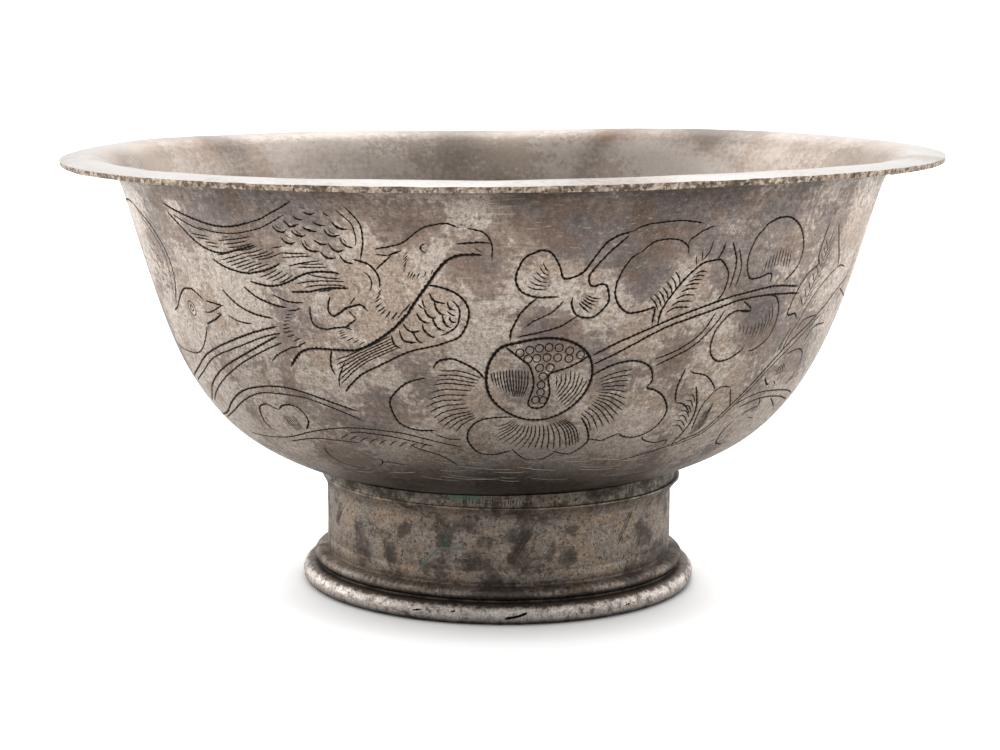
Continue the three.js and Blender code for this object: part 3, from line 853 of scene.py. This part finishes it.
graver_slant = 0.45
groove_steepness = 0.9
push_length = 0.46
strong_push = (1.0, 1.35)
weak_push = (0.6, 0.8)
hand_slip = 0.035
end_width = 0.22
end_taper = 1.1
end_roundness = 0.8
graver_lift = 0.08 * MM
tarnish_sunk = 0.32
tarnish_overlap = 0.008 * MM
curve_parts = 8


def smooth_route(route, is_closed):
    """More points along a given line, evenly spaced and on a smooth curve through its points."""
    ends = [route[-1], *route, route[0], route[1]] if is_closed else [route[0], *route, route[-1]]
    knots = [Vector((azimuth * degree_width, run)) for azimuth, run in ends]
    dense = []
    for a, b, c, d in zip(knots, knots[1:], knots[2:], knots[3:]):
        for part in range(curve_parts):
            t = part / curve_parts
            dense.append(0.5 * (2 * b + (c - a) * t + (2 * a - 5 * b + 4 * c - d) * t * t
                                + (3 * b - a - 3 * c + d) * t ** 3))
    dense.append(knots[-2])
    spans = [(after - before).length for before, after in zip(dense, dense[1:])]
    length = sum(spans)
    count = max(10 if is_closed else 3, round(length / push_length))
    stations = []
    number, passed = 0, 0.0
    for station in range(count + (0 if is_closed else 1)):
        goal = length * station / count
        while number < len(spans) - 1 and passed + spans[number] < goal:
            passed += spans[number]
            number += 1
        share = (goal - passed) / max(spans[number], 1e-9)
        stations.append(dense[number].lerp(dense[number + 1], min(share, 1)))
    return [(point.x / degree_width, point.y) for point in stations], length


def landed(surface, place, outward, reach=2 * MM):
    """Where a graver that comes straight at a surface meets it."""
    hit, spot = surface.ray_cast(place + outward * reach, -outward, distance=2 * reach)[:2]
    return spot if hit else place


def groove_bar(stations, is_closed, lift=0.0, sunk=0.0, extra=0.0):
    """Points and faces of a three-sided bar that lies along a groove: two edges above, one below.
    The graver was held aslant, so one flank of a groove is steeper than the other."""
    corners = []
    count = len(stations)
    for number, (place, outward, half_width, depth) in enumerate(stations):
        before = stations[(number - 1) % count if is_closed else max(number - 1, 0)][0]
        after = stations[(number + 1) % count if is_closed else min(number + 1, count - 1)][0]
        aside = (after - before).cross(outward).normalized()
        rise = lift - sunk * depth
        share = (depth + rise) / depth
        reach = half_width * share + extra
        middle = place + outward * rise + aside * graver_slant * half_width * (1 - share)
        corners += [middle - aside * reach, middle + aside * reach,
                    place - outward * (depth + extra) + aside * graver_slant * half_width]
    faces = []
    for number in range(count if is_closed else count - 1):
        here, there = 3 * number, 3 * ((number + 1) % count)
        for side in range(3):
            turn = (side + 1) % 3
            faces.append((here + side, here + turn, there + turn, there + side))
    if not is_closed:
        faces += [(2, 1, 0), (3 * count - 3, 3 * count - 2, 3 * count - 1)]
    return corners, faces


def groove_stations(surface, spot_of, width, route, is_closed):
    """The middle line of a groove on a surface, with its half width and depth at each push."""
    route, length = smooth_route(route, is_closed)
    stations = []
    for number, point in enumerate(route):
        share = number / (len(route) - 1)
        from_end = min(share, 1 - share) * length
        taper = 1.0 if is_closed else min(1.0, (end_width + from_end / end_taper) ** end_roundness)
        push = hand.uniform(*(strong_push if number % 2 else weak_push))
        half_width = width / 2 * MM * taper * push
        slip = 0.0 if is_closed else hand.uniform(-hand_slip, hand_slip)
        place, outward = spot_of(point[0] + slip, point[1] + slip)
        depth = groove_steepness * half_width
        stations.append((landed(surface, place, outward), outward, half_width, depth))
    return stations


def mesh_object(name, corners, faces):
    mesh = bpy.data.meshes.new(name)
    mesh.from_pydata(corners, [], faces)
    mesh.update()
    return bpy.data.objects.new(name, mesh)


def cut_grooves(surface, spot_of, engraved, groove_finish):
    """Cuts every line into a surface and returns the stations, for the tarnish that fills it."""
    bpy.context.view_layer.update()
    gravers = bpy.data.collections.new("gravers")
    bpy.context.scene.collection.children.link(gravers)
    cuts = [(groove_stations(surface, spot_of, width, route, is_closed), is_closed)
            for width, route, is_closed in engraved]
    for stations, is_closed in cuts:
        bar = mesh_object("graver", *groove_bar(stations, is_closed, lift=graver_lift))
        bar.data.materials.append(groove_finish)
        gravers.objects.link(bar)
    apply_modifier(surface, "BOOLEAN", operation="DIFFERENCE", solver="MANIFOLD",
                   operand_type="COLLECTION", material_mode="TRANSFER", collection=gravers)
    for bar in list(gravers.objects):
        used = bar.data
        bpy.data.objects.remove(bar)
        bpy.data.meshes.remove(used)
    bpy.data.collections.remove(gravers)
    return cuts


def tarnish_in_grooves(name, cuts):
    """One mesh of thin dark bars that fill the grooves almost to the top."""
    corners, faces = [], []
    for stations, is_closed in cuts:
        more, sides = groove_bar(stations, is_closed, sunk=tarnish_sunk, extra=tarnish_overlap)
        faces += [tuple(len(corners) + corner for corner in side) for side in sides]
        corners += more
    made = mesh_object(name, corners, faces)
    bpy.context.scene.collection.objects.link(made)
    return made


metal_share = 0.9
relief_depth = 0.05 * MM
shade_band_edge = 5 * MM
rubbed_limit = 0.88
rubbed_cleanness = 0.16
rust_tint = (1.12, 0.95, 0.8)
crevice_dirt_and_shade = (0.02, 0.015, 0.012)
copper_green = (0.14, 0.2, 0.165)
brightest_scratch = 0.9


def worn_silver(name, clean, warm, dark, dirt, blotch_size, roughness, grain=1.0, stains_and_painted_light=(), crevice=None,
                greens=(), rubbed=None, shade_bands=(), speckles=1.0, crispness=0.42):
    """Old silver: a clean speckled tone, warm patches and smooth dark tarnish in patches with crisp edges,
    with level polishing scratches, pits and specks. A stain is a place, a radius and how much darker it is
    there; some are real stains and some are painted light or painted shade. A green is the same with its
    tint. A shade band is painted shade: a height, another one, how dark it gets between them and how much
    the dark bends up at the sides. Crevice is how far ambient occlusion looks to darken corners and the
    places under things, with dirt and painted shade. Rubbed is a brighter tone with the two distances from
    the upright axis between which it begins, and how ragged its edge is."""
    material = empty_material(name)
    place = make_node(material, "ShaderNodeTexCoord").outputs["Object"]

    def noise(size, detail=4.0, rough=0.55, vector=place):
        return make_node(material, "ShaderNodeTexNoise", {
            "Vector": vector, "Scale": 1 / size, "Detail": detail, "Roughness": rough}).outputs[0]

    def ramp(*levels):
        return map_range(material, *levels)

    def product(*values):
        return math_node(material, "MULTIPLY", *values)

    def total(*values):
        return math_node(material, "ADD", *values)

    def less(*values):
        return math_node(material, "SUBTRACT", *values)

    def larger(*values):
        return math_node(material, "MAXIMUM", *values)

    def weighed(*parts):
        """The sum of noises around zero, each times its weight."""
        made = 0.0
        for value, weight in parts:
            made = total(product(less(value, 0.5), weight), made)
        return made

    def mixed(share, first, second, blend="MIX"):
        made = make_node(material, "ShaderNodeMix", {0: share}, data_type="RGBA", blend_type=blend)
        for socket, colour in ((6, first), (7, second)):
            if isinstance(colour, bpy.types.NodeSocket):
                material.node_tree.links.new(colour, made.inputs[socket])
            else:
                made.inputs[socket].default_value = (*colour, 1)
        return made.outputs[2]

    def stretched(angles, scale):
        return make_node(material, "ShaderNodeMapping", {
            "Vector": place, "Rotation": angles, "Scale": scale}).outputs[0]

    def toned(colour, tone):
        shade = make_node(material, "ShaderNodeCombineColor", {0: tone, 1: tone, 2: tone})
        return mixed(1.0, colour, shade.outputs[0], "MULTIPLY")

    def distance_to(centre):
        return vector_node(material, "DISTANCE", "Value", place, centre)

    level_marks = stretched((0, 0, 0), (1, 1, 9))
    streaks = noise(6 * MM, 6, 0.6, level_marks)
    fine_streaks = noise(2.2 * MM, 6, 0.65, level_marks)
    blotches = noise(blotch_size, 6, 0.52)
    patches = noise(0.7 * blotch_size, 6, 0.55)
    broad = noise(2.2 * blotch_size, 3, 0.5)
    pepper = noise(1.0 * MM, 5, 0.65)
    dust = noise(0.36 * MM, 3, 0.6)
    darkness = weighed((blotches, 0.8), (broad, 0.5), (streaks, 0.14), (pepper, 0.3))
    # Stains darken or lighten places; some of them are painted light or painted shade.
    for centre, radius, strength in stains_and_painted_light:
        darkness = total(darkness, ramp(distance_to(centre), radius, 0.2 * radius, 0, strength))
    brownness = weighed((patches, 1), (broad, -0.5), (pepper, 0.4))
    colour = mixed(ramp(brownness, 0.0, 0.06), clean, warm)
    if rubbed:
        bright, begins, ends, wear = rubbed
        flat = vector_node(material, "MULTIPLY", "Vector", place, (1, 1, 0))
        radius = vector_node(material, "LENGTH", "Value", flat)
        ragged = total(radius, product(weighed((pepper, 1)), wear))
        rubbed_share = ramp(ragged, begins, ends, 0, rubbed_limit)
        colour = mixed(rubbed_share, colour, bright)
        darkness = less(darkness, product(rubbed_share, rubbed_cleanness))

    # The dark tarnish begins at one level of darkness, in part with a crisp edge
    level = 0.2 - 0.4 * dirt
    crisp = ramp(darkness, level - 0.015, level + 0.02, 0, crispness)
    tarnished = total(crisp, ramp(darkness, level - 0.13, level + 0.15, 0, 0.95 - crispness))
    deep = ramp(darkness, level + 0.05, level + 0.35, 1.0, 0.7)
    rusty = [part * tint for part, tint in zip(dark, rust_tint)]
    colour = mixed(tarnished, colour, mixed(ramp(patches, 0.42, 0.56), rusty, dark))

    # Specks, streaks, pits and scratches show where the silver is bare
    bare = less(1.0, product(tarnished, 0.5))
    speckle = product(bare, weighed((pepper, -1.3 * speckles), (dust, 2.2 * speckles)))
    level_tone = weighed((fine_streaks, 0.6 * speckles), (streaks, -0.5 * speckles), (broad, -0.5))
    colour = toned(colour, product(deep, total(1.0, total(speckle, level_tone))))
    pits = product(bare, ramp(noise(0.6 * MM, 3, 0.5), 0.6, 0.66))
    colour = mixed(product(pits, 0.55 * grain * speckles), colour, [0.5 * part for part in dark])
    flecks = ramp(noise(0.5 * MM, 2, 0.5, stretched((0.4, 0.2, 0.9), (1, 1, 1.6))), 0.63, 0.7)
    scratches = ramp(noise(0.4 * MM, 2, 0.5, stretched((0.3, 0.7, 0.2), (0.05, 1, 1))), 0.66, 0.72)
    scrapes = ramp(noise(0.45 * MM, 2, 0.5, stretched((-0.2, -0.5, 0.4), (0.04, 1, 1))), 0.67, 0.72)
    lit = larger(product(flecks, bare), larger(scratches, scrapes))
    scratched = [min(1.7 * part, brightest_scratch) for part in clean]
    colour = mixed(product(lit, 0.32 * speckles), colour, scratched)

    # Green corrosion, painted shade bands and the dirt and painted shade of the corners lie over all of it
    for centre, radius, tint in greens:
        reach = total(distance_to(centre), product(weighed((pepper, 1)), 2.5 * radius))
        colour = mixed(ramp(reach, radius, 0.4 * radius, 0, tint), colour, copper_green)
    # Painted shade: darker between two heights, less dark at the sides.
    for begins, ends, darkest, bend in shade_bands:
        parts = make_node(material, "ShaderNodeSeparateXYZ", {0: place})
        sides = product(product(parts.outputs["X"], parts.outputs["X"]), bend)
        height = total(parts.outputs["Z"], sides)
        ragged = total(height, product(weighed((pepper, 1), (blotches, 1)), shade_band_edge))
        colour = toned(colour, ramp(ragged, begins, ends, 1.0, darkest))
    # Dirt and painted shade: ambient occlusion darkens corners and the places under things.
    if crevice:
        opening = make_node(material, "ShaderNodeAmbientOcclusion", {"Distance": crevice}, samples=6)
        colour = mixed(ramp(opening.outputs["AO"], 0.3, 0.9, 0.8, 0.0), colour, crevice_dirt_and_shade)
    shine = total(roughness, weighed((blotches, 0.3), (pepper, 0.3 * speckles), (fine_streaks, 0.2)))
    marks = less(weighed((fine_streaks, 0.5), (pepper, 0.5), (dust, 0.25)), product(pits, 0.5 * grain))
    bump = make_node(material, "ShaderNodeBump", {
        "Strength": 1.0, "Distance": relief_depth * grain, "Height": marks})
    metal = make_node(material, "ShaderNodeBsdfPrincipled", {
        "Base Color": colour, "Roughness": shine, "Metallic": metal_share, "Normal": bump.outputs[0]})
    make_node(material, "ShaderNodeOutputMaterial", {"Surface": metal.outputs[0]})
    return material


def plain_finish(name, colour, roughness, metallic=metal_share):
    material = empty_material(name)
    metal = make_node(material, "ShaderNodeBsdfPrincipled", {
        "Base Color": (*colour, 1), "Roughness": roughness, "Metallic": metallic})
    make_node(material, "ShaderNodeOutputMaterial", {"Surface": metal.outputs[0]})
    return material


def spots_at(spot_of, *rows):
    """Places of stains, greens or patches of painted light and shade on a surface, from a row of angle, run
    or height, radius and strength for each.
    """
    return [(spot_of(azimuth, run)[0], radius * MM, strength) for azimuth, run, radius, strength in rows]


def finished(piece, slot, *nodes, smooth_angle=32 * DEGREE):
    """Smooths a piece and puts it in the place of its solids."""
    bpy.ops.object.mode_set(mode="OBJECT")
    choose(piece)
    bpy.ops.object.shade_smooth_by_angle(angle=smooth_angle)
    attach(piece, "root")
    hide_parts(*nodes)


# Darker or paler places on the wall as in the photo, partly tarnish and partly painted shade and painted
# reflection, and a few inside at the back, which are painted reflection and painted shade
wall_stains_and_painted_light = spots_at(
    wall_spot,
    (-46, -2, 14, 0.12), (-38, 0, 9, 0.12), (-24, -4, 9, 0.1), (4, 0, 13, 0.16), (13, -2, 12, 0.18),
    (25, -3, 14, 0.18), (38, 1, 12, 0.14), (20, 9, 7, 0.2), (45, -3, 10, 0.12), (8, 17, 7, 0.1),
    (28, 21, 6, 0.1), (-17, 33, 6, 0.14), (-38, 33, 5, 0.12), (-12, 28, 4, 0.12), (-50, 6, 5, 0.12),
    (-3, 8, 6, 0.12), (22, 19, 7, -0.22), (-23, 1, 10, 0.16), (-14, -2, 10, 0.2), (-22, 14, 14, -0.1),
    (-45, 16, 14, -0.26), (8, 10, 6, -0.28), (14, 12, 6, -0.28), (12, 28, 7, -0.14), (-5, 28, 8, -0.14),
    (0, 40, 10, -0.08), (44, 10, 8, -0.1), (42, 22, 9, 0.04), (27, 13, 5, -0.12), (-30, 26, 7, -0.12),
    (55, 20, 14, 0.1), (-15, 30, 5, -0.16), (-40, 38, 9, -0.28), (-60, 38, 10, -0.3), (58, 40, 12, -0.3),
    (-4, 4, 6, 0.1), (-58, 18, 9, 0.07), (58, 5, 10, 0.14), (40, 44, 8, -0.22))
inside_painted_light_and_shade = spots_at(
    wall_spot, (152, 4, 15, -0.6), (141, 6, 10, -0.35), (121, 8, 10, 0.22), (178, 12, 13, 0.35),
    (-125, 6, 12, -0.15))
# Painted shade: the outside is painted darker under the belly, most in its middle, and just under the lip;
# its stains are partly painted light and shade.
outer_silver = worn_silver(
    "tarnished_silver_outside",
    clean=(0.63, 0.54, 0.465), warm=(0.5, 0.395, 0.315), dark=(0.25, 0.209, 0.193),
    dirt=0.42, blotch_size=13 * MM, roughness=0.45, speckles=0.85, stains_and_painted_light=wall_stains_and_painted_light,
    shade_bands=((41 * MM, 28 * MM, 0.3, 9), (72 * MM, 78 * MM, 0.62, 0)))
# Painted light and shade: the inside stains lighten and darken the back wall, and the inside is painted
# darker further down.
inner_silver = worn_silver(
    "tarnished_silver_inside",
    clean=(0.49, 0.43, 0.385), warm=(0.4, 0.33, 0.275), dark=(0.25, 0.21, 0.182),
    dirt=0.5, blotch_size=24 * MM, roughness=0.45, grain=0.3, speckles=0.16, crispness=0.1,
    stains_and_painted_light=inside_painted_light_and_shade, shade_bands=((72 * MM, 57 * MM, 0.66, 3),),
    rubbed=((0.5, 0.48, 0.46), 71 * MM, 76 * MM, 2 * MM))
lip_edge_silver = worn_silver(
    "rough_lip_edge", clean=(0.57, 0.47, 0.38), warm=(0.46, 0.35, 0.26), dark=(0.15, 0.12, 0.093),
    dirt=0.46, blotch_size=0.9 * MM, roughness=0.58, grain=2.0)
groove_silver = plain_finish("groove_silver", (0.22, 0.18, 0.148), 0.55)
for finish in (outer_silver, inner_silver, lip_edge_silver, groove_silver):
    bowl.data.materials.append(finish)
inside_finish = 1
lip_edge_finish = 2
lip_edge_width = 0.7 * MM
lip_edge_turn = 0.5
for polygon in bowl.data.polygons:
    way_out = polygon.normal.xy.dot(polygon.center.xy.normalized())
    if distance_out(polygon.center) > lip_radius - lip_edge_width and way_out > lip_edge_turn:
        polygon.material_index = lip_edge_finish
    elif polygon.normal.z > 0:
        polygon.material_index = inside_finish
cuts = cut_grooves(bowl, wall_spot, engraving, groove_silver)

bare_silver = plain_finish("scratched_silver", (0.42, 0.37, 0.32), 0.45)
belly_scratch_count = 26
belly_scratches = []
for number in range(belly_scratch_count):
    azimuth, run = hand.uniform(-34, 30), hand.uniform(43.5, 52)
    reach, drop = hand.uniform(3, 11), hand.uniform(-1.2, 1.6)
    belly_scratches += lines(hand.uniform(0.1, 0.16), [
        (azimuth, run), (azimuth + reach / 2, run + drop / 2 + 0.3), (azimuth + reach, run + drop)])
cut_grooves(bowl, wall_spot, belly_scratches, bare_silver)
finished(bowl, "tarnished_silver", "bowl_body")

filling = tarnish_in_grooves("engraving_tarnish", cuts)
groove_tarnish = plain_finish("groove_tarnish", (0.02, 0.014, 0.011), 0.8, metallic=0.8)
filling.data.materials.append(groove_tarnish)
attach(filling, "root")

# The base ring
# A thick ring of silver carries the foot. It has rubbed bright on every table it stood on, with dark pits
# and a gash at the front; inwards, where the bead wire shades it, it is darker with tarnish and with
# painted shade.
ring_low, ring_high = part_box("base_ring")
ring_turns = 480
widest_radius = ring_high.x
widest_height = 1.6 * MM
ring_inside = 30.6 * MM
ring_inner_edge = 0.3 * MM
rest_inset = 1.3 * MM
rest_steps = 7
top_inset = 1.75 * MM
top_steps = 9
pit_size = 1.5 * MM
pit_depth = 0.22 * MM
ring_outline = [Vector((ring_inside, ring_inner_edge)), Vector((ring_inside + ring_inner_edge, 0))]
ring_outline += arc((widest_radius - rest_inset, widest_height), (rest_inset, widest_height),
                    -math.pi / 2, 0, rest_steps)
ring_outline += arc((widest_radius - top_inset, widest_height), (top_inset, ring_high.z - widest_height),
                    0, math.pi / 2, top_steps)[1:]
ring_outline += [Vector((ring_inside, ring_high.z)), ring_outline[0].copy()]
base_ring = turned("rubbed_base_ring", ring_outline, ring_turns)
waved(base_ring, "ring_pits", pit_size, 2, pit_depth, middle=0.55)
for vertex in base_ring.data.vertices:
    vertex.co.z = max(vertex.co.z, ring_low.z)


def round_spot(radius):
    """Places on an upright round face, by the angle around it and the height in millimetres."""
    def spot(azimuth, height):
        around = around_at(azimuth)
        return around * radius + UP * height * MM, around
    return spot


# Its crevice darkening beside the bead wire and the collar is dirt and painted shade.
base_ring.data.materials.append(worn_silver(
    "rubbed_silver", clean=(0.1, 0.085, 0.07), warm=(0.13, 0.105, 0.085), dark=(0.15, 0.12, 0.098),
    dirt=0.55, blotch_size=1.7 * MM, roughness=0.5, grain=1.5, crevice=1.6 * MM, speckles=0.75,
    rubbed=((0.76, 0.68, 0.63), 35.6 * MM, 36.3 * MM, 3 * MM)))
gashes = (lines(0.55, [(2, 1.3), (5, 1.65), (8, 2.3)]) + lines(0.35, [(-24, 1.9), (-21.5, 2.2)])
          + lines(0.4, [(-13, 2.3), (-11.6, 2.4)]) + lines(0.35, [(38, 1.8), (40, 2.1)]))
cut_grooves(base_ring, round_spot(widest_radius), gashes, groove_tarnish)
finished(base_ring, "rubbed_silver", "base_ring")

# The foot collar
# A band of sheet silver, bent round and seamed, stands in the base ring and is flared outwards at
# its top to carry the bowl. It is dull and dark, with scratches and old cuts in its face.
collar_low, collar_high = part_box("foot_collar")
collar_turns = 240
collar_radius = 32.15 * MM
collar_sheet = 0.9 * MM
collar_inside = collar_radius - collar_sheet
foot_height = collar_high.z
flange_radius = collar_high.x
flange_shift = 0.4 * MM
flange_round = Vector((0.2 * MM, 0.3 * MM))
flange_round_steps = 5
inner_flare = 0.9 * MM
flare_start = foot_height - 2.7 * MM
flare_corner = Vector((collar_radius + 0.1 * MM, foot_height - 1.7 * MM))
flare_steps = 7
inner_flare_steps = 6
turned_lines = (6.2 * MM, 8.5 * MM)
turned_line_depth = 0.04 * MM
turned_line_edge = 0.15 * MM
band_heights = (11 * MM, 14 * MM)
collar_wave_size = 12 * MM
collar_wave_depth = 0.2 * MM
bend_fullness = 0.67


def bent(start, corner, end, steps):
    """Points along a bend that leaves one line and meets another, without the first."""
    return [point.xy for point in interpolate_bezier(
        start, start.lerp(corner, bend_fullness), end.lerp(corner, bend_fullness), end, steps)][1:]


collar_outline = [Vector((collar_inside, collar_low.z)), Vector((collar_radius, collar_low.z))]
for height in turned_lines:
    collar_outline += [Vector((collar_radius, height - turned_line_edge)),
                       Vector((collar_radius - turned_line_depth, height)),
                       Vector((collar_radius, height + turned_line_edge))]
collar_outline += [Vector((collar_radius, height)) for height in (*band_heights, flare_start)]
flange_tip = Vector((flange_radius, foot_height - flange_round.y))
collar_outline += bent(collar_outline[-1], flare_corner, flange_tip, flare_steps)
collar_outline += arc((flange_radius - flange_round.x, foot_height - flange_round.y), flange_round,
                      0, math.pi / 2, flange_round_steps)[1:]
collar_outline.append(Vector((collar_inside + inner_flare, foot_height)))
collar_outline += bent(collar_outline[-1], Vector((collar_inside, foot_height)),
                       Vector((collar_inside, flare_start)), inner_flare_steps)
collar_outline.append(collar_outline[0].copy())
collar = turned("worn_foot_collar", collar_outline, collar_turns)
waved(collar, "collar_waves", collar_wave_size, 1, collar_wave_depth)
for vertex in collar.data.vertices:
    vertex.co.x += flange_shift * max(vertex.co.z - flare_start, 0) / (foot_height - flare_start)

collar_spot = round_spot(collar_radius)
collar_stains = spots_at(
    collar_spot,
    (-63, 15, 2, 0.2), (-65, 13.5, 1.4, 0.2), (8.5, 15, 1.4, 0.25), (7, 13.6, 1.3, 0.25),
    (5.6, 12.3, 1.2, 0.25), (4, 11, 1.2, 0.22), (47, 16.4, 1.4, 0.22), (45, 14.8, 1.3, 0.22),
    (43, 13, 1.4, 0.2), (-37, 10, 2.4, 0.3), (-32, 15, 2.2, 0.25), (-17, 13.6, 2, 0.35),
    (-9, 9.6, 2.4, 0.2), (23, 10.6, 2.6, 0.25), (55, 12.5, 4, 0.12), (-50, 9, 4, 0.12),
    (-60, 14, 3, -0.25), (-10, 13.6, 2, -0.22), (-2, 16.4, 2.6, -0.22), (14, 13, 2, -0.2),
    (41, 17, 2.8, -0.35), (37, 13.4, 2.4, -0.3), (30, 8, 4, -0.15), (62, 16, 3, -0.1),
    (-24, 8.4, 1.6, 0.25), (38, 12, 8, -0.14))
collar_greens = spots_at(
    collar_spot, (-16.5, 13.8, 0.9, 0.35), (-14, 12.6, 0.7, 0.5), (-18, 12.3, 0.6, 0.5),
    (-23, 10, 0.5, 0.4), (-25, 8.2, 0.8, 0.35))
# Its crevice darkening under the flange and above the bead wire is dirt and painted shade.
collar.data.materials.append(worn_silver(
    "collar_silver", clean=(0.31, 0.265, 0.225), warm=(0.34, 0.262, 0.197), dark=(0.105, 0.09, 0.08),
    dirt=0.42, blotch_size=4.5 * MM, roughness=0.5, grain=1.3, crevice=2 * MM,
    stains_and_painted_light=collar_stains, greens=collar_greens))
green_cuts = lines(0.34, [(-26.4, 7.5), (-22.9, 9.9), (-19.5, 12.1)])
green_cuts += lines(0.3, [(-19.5, 12.1), (-15.2, 12.4), (-9.5, 12.4)])
fresh_scratches = lines(
    0.2, [(6.9, 6), (11.9, 9.3), (17, 12.4)], [(17, 12.4), (24, 12.6)], [(-19.2, 16.9), (-16.6, 14.6)],
    [(-37, 8.2), (-33, 7.2)], [(20, 8.2), (27, 8.9)], [(22, 17.3), (30, 17.2)])
old_cuts = lines(
    0.16, [(-60.1, 16.5), (-62.6, 15), (-65.6, 13)], [(9.9, 16), (3.7, 10.7)], [(10.6, 15.4), (5.4, 10.9)],
    [(48.5, 17.6), (41.6, 11.6)], [(47, 17.2), (42, 13)])
verdigris = plain_finish("verdigris", (0.19, 0.29, 0.225), 0.8, metallic=0.1)
cut_grooves(collar, collar_spot, green_cuts, verdigris)
cut_grooves(collar, collar_spot, fresh_scratches, bare_silver)
old_cut_silver = plain_finish("old_cut_in_silver", (0.07, 0.06, 0.052), 0.6, metallic=0.8)
cut_grooves(collar, collar_spot, old_cuts, old_cut_silver)
finished(collar, "tarnished_silver", "foot_collar")

# The bead wire
# A half-round wire, rolled into small beads that are worn almost flat, lies around the collar's foot. Dirt
# and tarnish have stayed between its beads and above it, and the faces beside it are painted darker, with
# dirt and painted shade.
wire_low, wire_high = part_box("bead_wire")
bead_count = 156
bead_facets = 5
bead_angle = 2 * math.pi / bead_count
bead_depth = 0.1 * MM
bead_round_angle = 60 * DEGREE
wire_steps = 10
wire_gap = 0.05 * MM
wire_back_width = 0.9 * MM
wire_back = collar_radius + wire_gap
wire_shoulder = wire_back + wire_back_width
wire_middle = (wire_low.z + wire_high.z) / 2
wire_outline = [Vector((wire_back, wire_low.z))]
wire_outline += arc((wire_shoulder, wire_middle), (wire_high.x - wire_shoulder, wire_middle - wire_low.z),
                    -math.pi / 2, math.pi / 2, wire_steps)
wire_outline += [Vector((wire_back, wire_high.z)), Vector((wire_back, wire_low.z))]
bead_wire = turned("worn_bead_wire", wire_outline, bead_count * bead_facets)


def between_beads(place):
    turn = math.atan2(place.y, place.x) / bead_angle
    return abs(turn - round(turn)) < 0.5 / bead_facets and distance_out(place) > wire_shoulder


pick(bead_wire, between_beads)
bpy.ops.transform.shrink_fatten(value=-bead_depth)
bead_wire.data.materials.append(worn_silver(
    "bead_wire_silver", clean=(0.3, 0.256, 0.22), warm=(0.24, 0.198, 0.163), dark=(0.12, 0.102, 0.088),
    dirt=0.45, blotch_size=5 * MM, roughness=0.6))
finished(bead_wire, "dark_silver", "bead_wire", smooth_angle=bead_round_angle)

# The solder
# Bands of silver solder fill the wedge between the bowl and the flange, the joint under the bead
# wire and the corner inside the foot. They are dull, filed by hand and green in places.
seam_turns = 240
seam_setback = 0.35 * MM
seam_outside = flange_radius - seam_setback
seam_inside = collar_inside + inner_flare
seam_hollow = 0.3 * MM
seam_hollow_height = foot_height + 0.9 * MM
seam_top_reach = 0.1 * MM
seam_top_gap = 0.15 * MM
seam_lap = 0.25 * MM
seam_steps = 5
seam_fixed_height = foot_height + 0.5 * MM


def underside_at(radius):
    """Height of the bowl's underside at a radius, before the bowl leans."""
    inner, outer = next(pair for pair in zip(outer_face, outer_face[1:]) if pair[1].x > radius)
    return inner.y + (outer.y - inner.y) * (radius - inner.x) / (outer.x - inner.x)


seam_top = underside_at(seam_outside)
seam_outline = [Vector((seam_inside, foot_height)), Vector((seam_outside, foot_height))]
seam_outline += bent(seam_outline[-1], Vector((seam_outside - seam_hollow, seam_hollow_height)),
                     Vector((seam_outside + seam_top_reach, seam_top - seam_top_gap)), seam_steps)
seam_outline += [Vector((seam_outside - seam_setback, seam_top + seam_lap)),
                 Vector((seam_inside, underside_at(seam_inside) + seam_lap)),
                 Vector((seam_inside, foot_height))]
bowl_seam = turned("bowl_solder_band", seam_outline, seam_turns)
for vertex in bowl_seam.data.vertices:
    if vertex.co.z > seam_fixed_height:
        vertex.co.z += bowl_slope * vertex.co.x

seam_spot = round_spot(seam_outside)
seam_greens = spots_at(seam_spot, *[(azimuth, 22.2, 1.1, 0.9) for azimuth in (-14, -11.5, -9, -7)])
# Its crevice darkening in the wedge under the bowl is dirt and painted shade.
bowl_seam.data.materials.append(worn_silver(
    "filed_solder", clean=(0.2, 0.175, 0.145), warm=(0.2, 0.165, 0.125), dark=(0.06, 0.053, 0.042),
    dirt=0.5, blotch_size=4 * MM, roughness=0.52, grain=1.4, crevice=1.6 * MM, greens=seam_greens))
filed_from = -12.0
filed_to = 11.0
filed_middle = -2.0
filed_spread = 14
file_marks = []
azimuth = filed_from
while azimuth < filed_to:
    low_end = hand.uniform(20.3, 20.7)
    width = hand.uniform(0.13, 0.22)
    file_marks += lines(width, [(azimuth, low_end), (azimuth + 0.2, hand.uniform(21.2, 22.2))])
    azimuth += hand.uniform(0.45, 0.85) * (1 + abs(azimuth - filed_middle) / filed_spread)
cut_grooves(bowl_seam, seam_spot, file_marks, groove_tarnish)
finished(bowl_seam, "silver_solder", "bowl_solder_seam")

dark_solder = worn_silver(
    "dark_solder", clean=(0.12, 0.1, 0.085), warm=(0.15, 0.12, 0.095), dark=(0.04, 0.035, 0.03),
    dirt=0.5, blotch_size=3 * MM, roughness=0.6)
for name in ("bead_solder_seam", "base_solder_seam"):
    seam = frame["nodes"][name]
    seam.data.materials.clear()
    seam.data.materials.append(dark_solder)
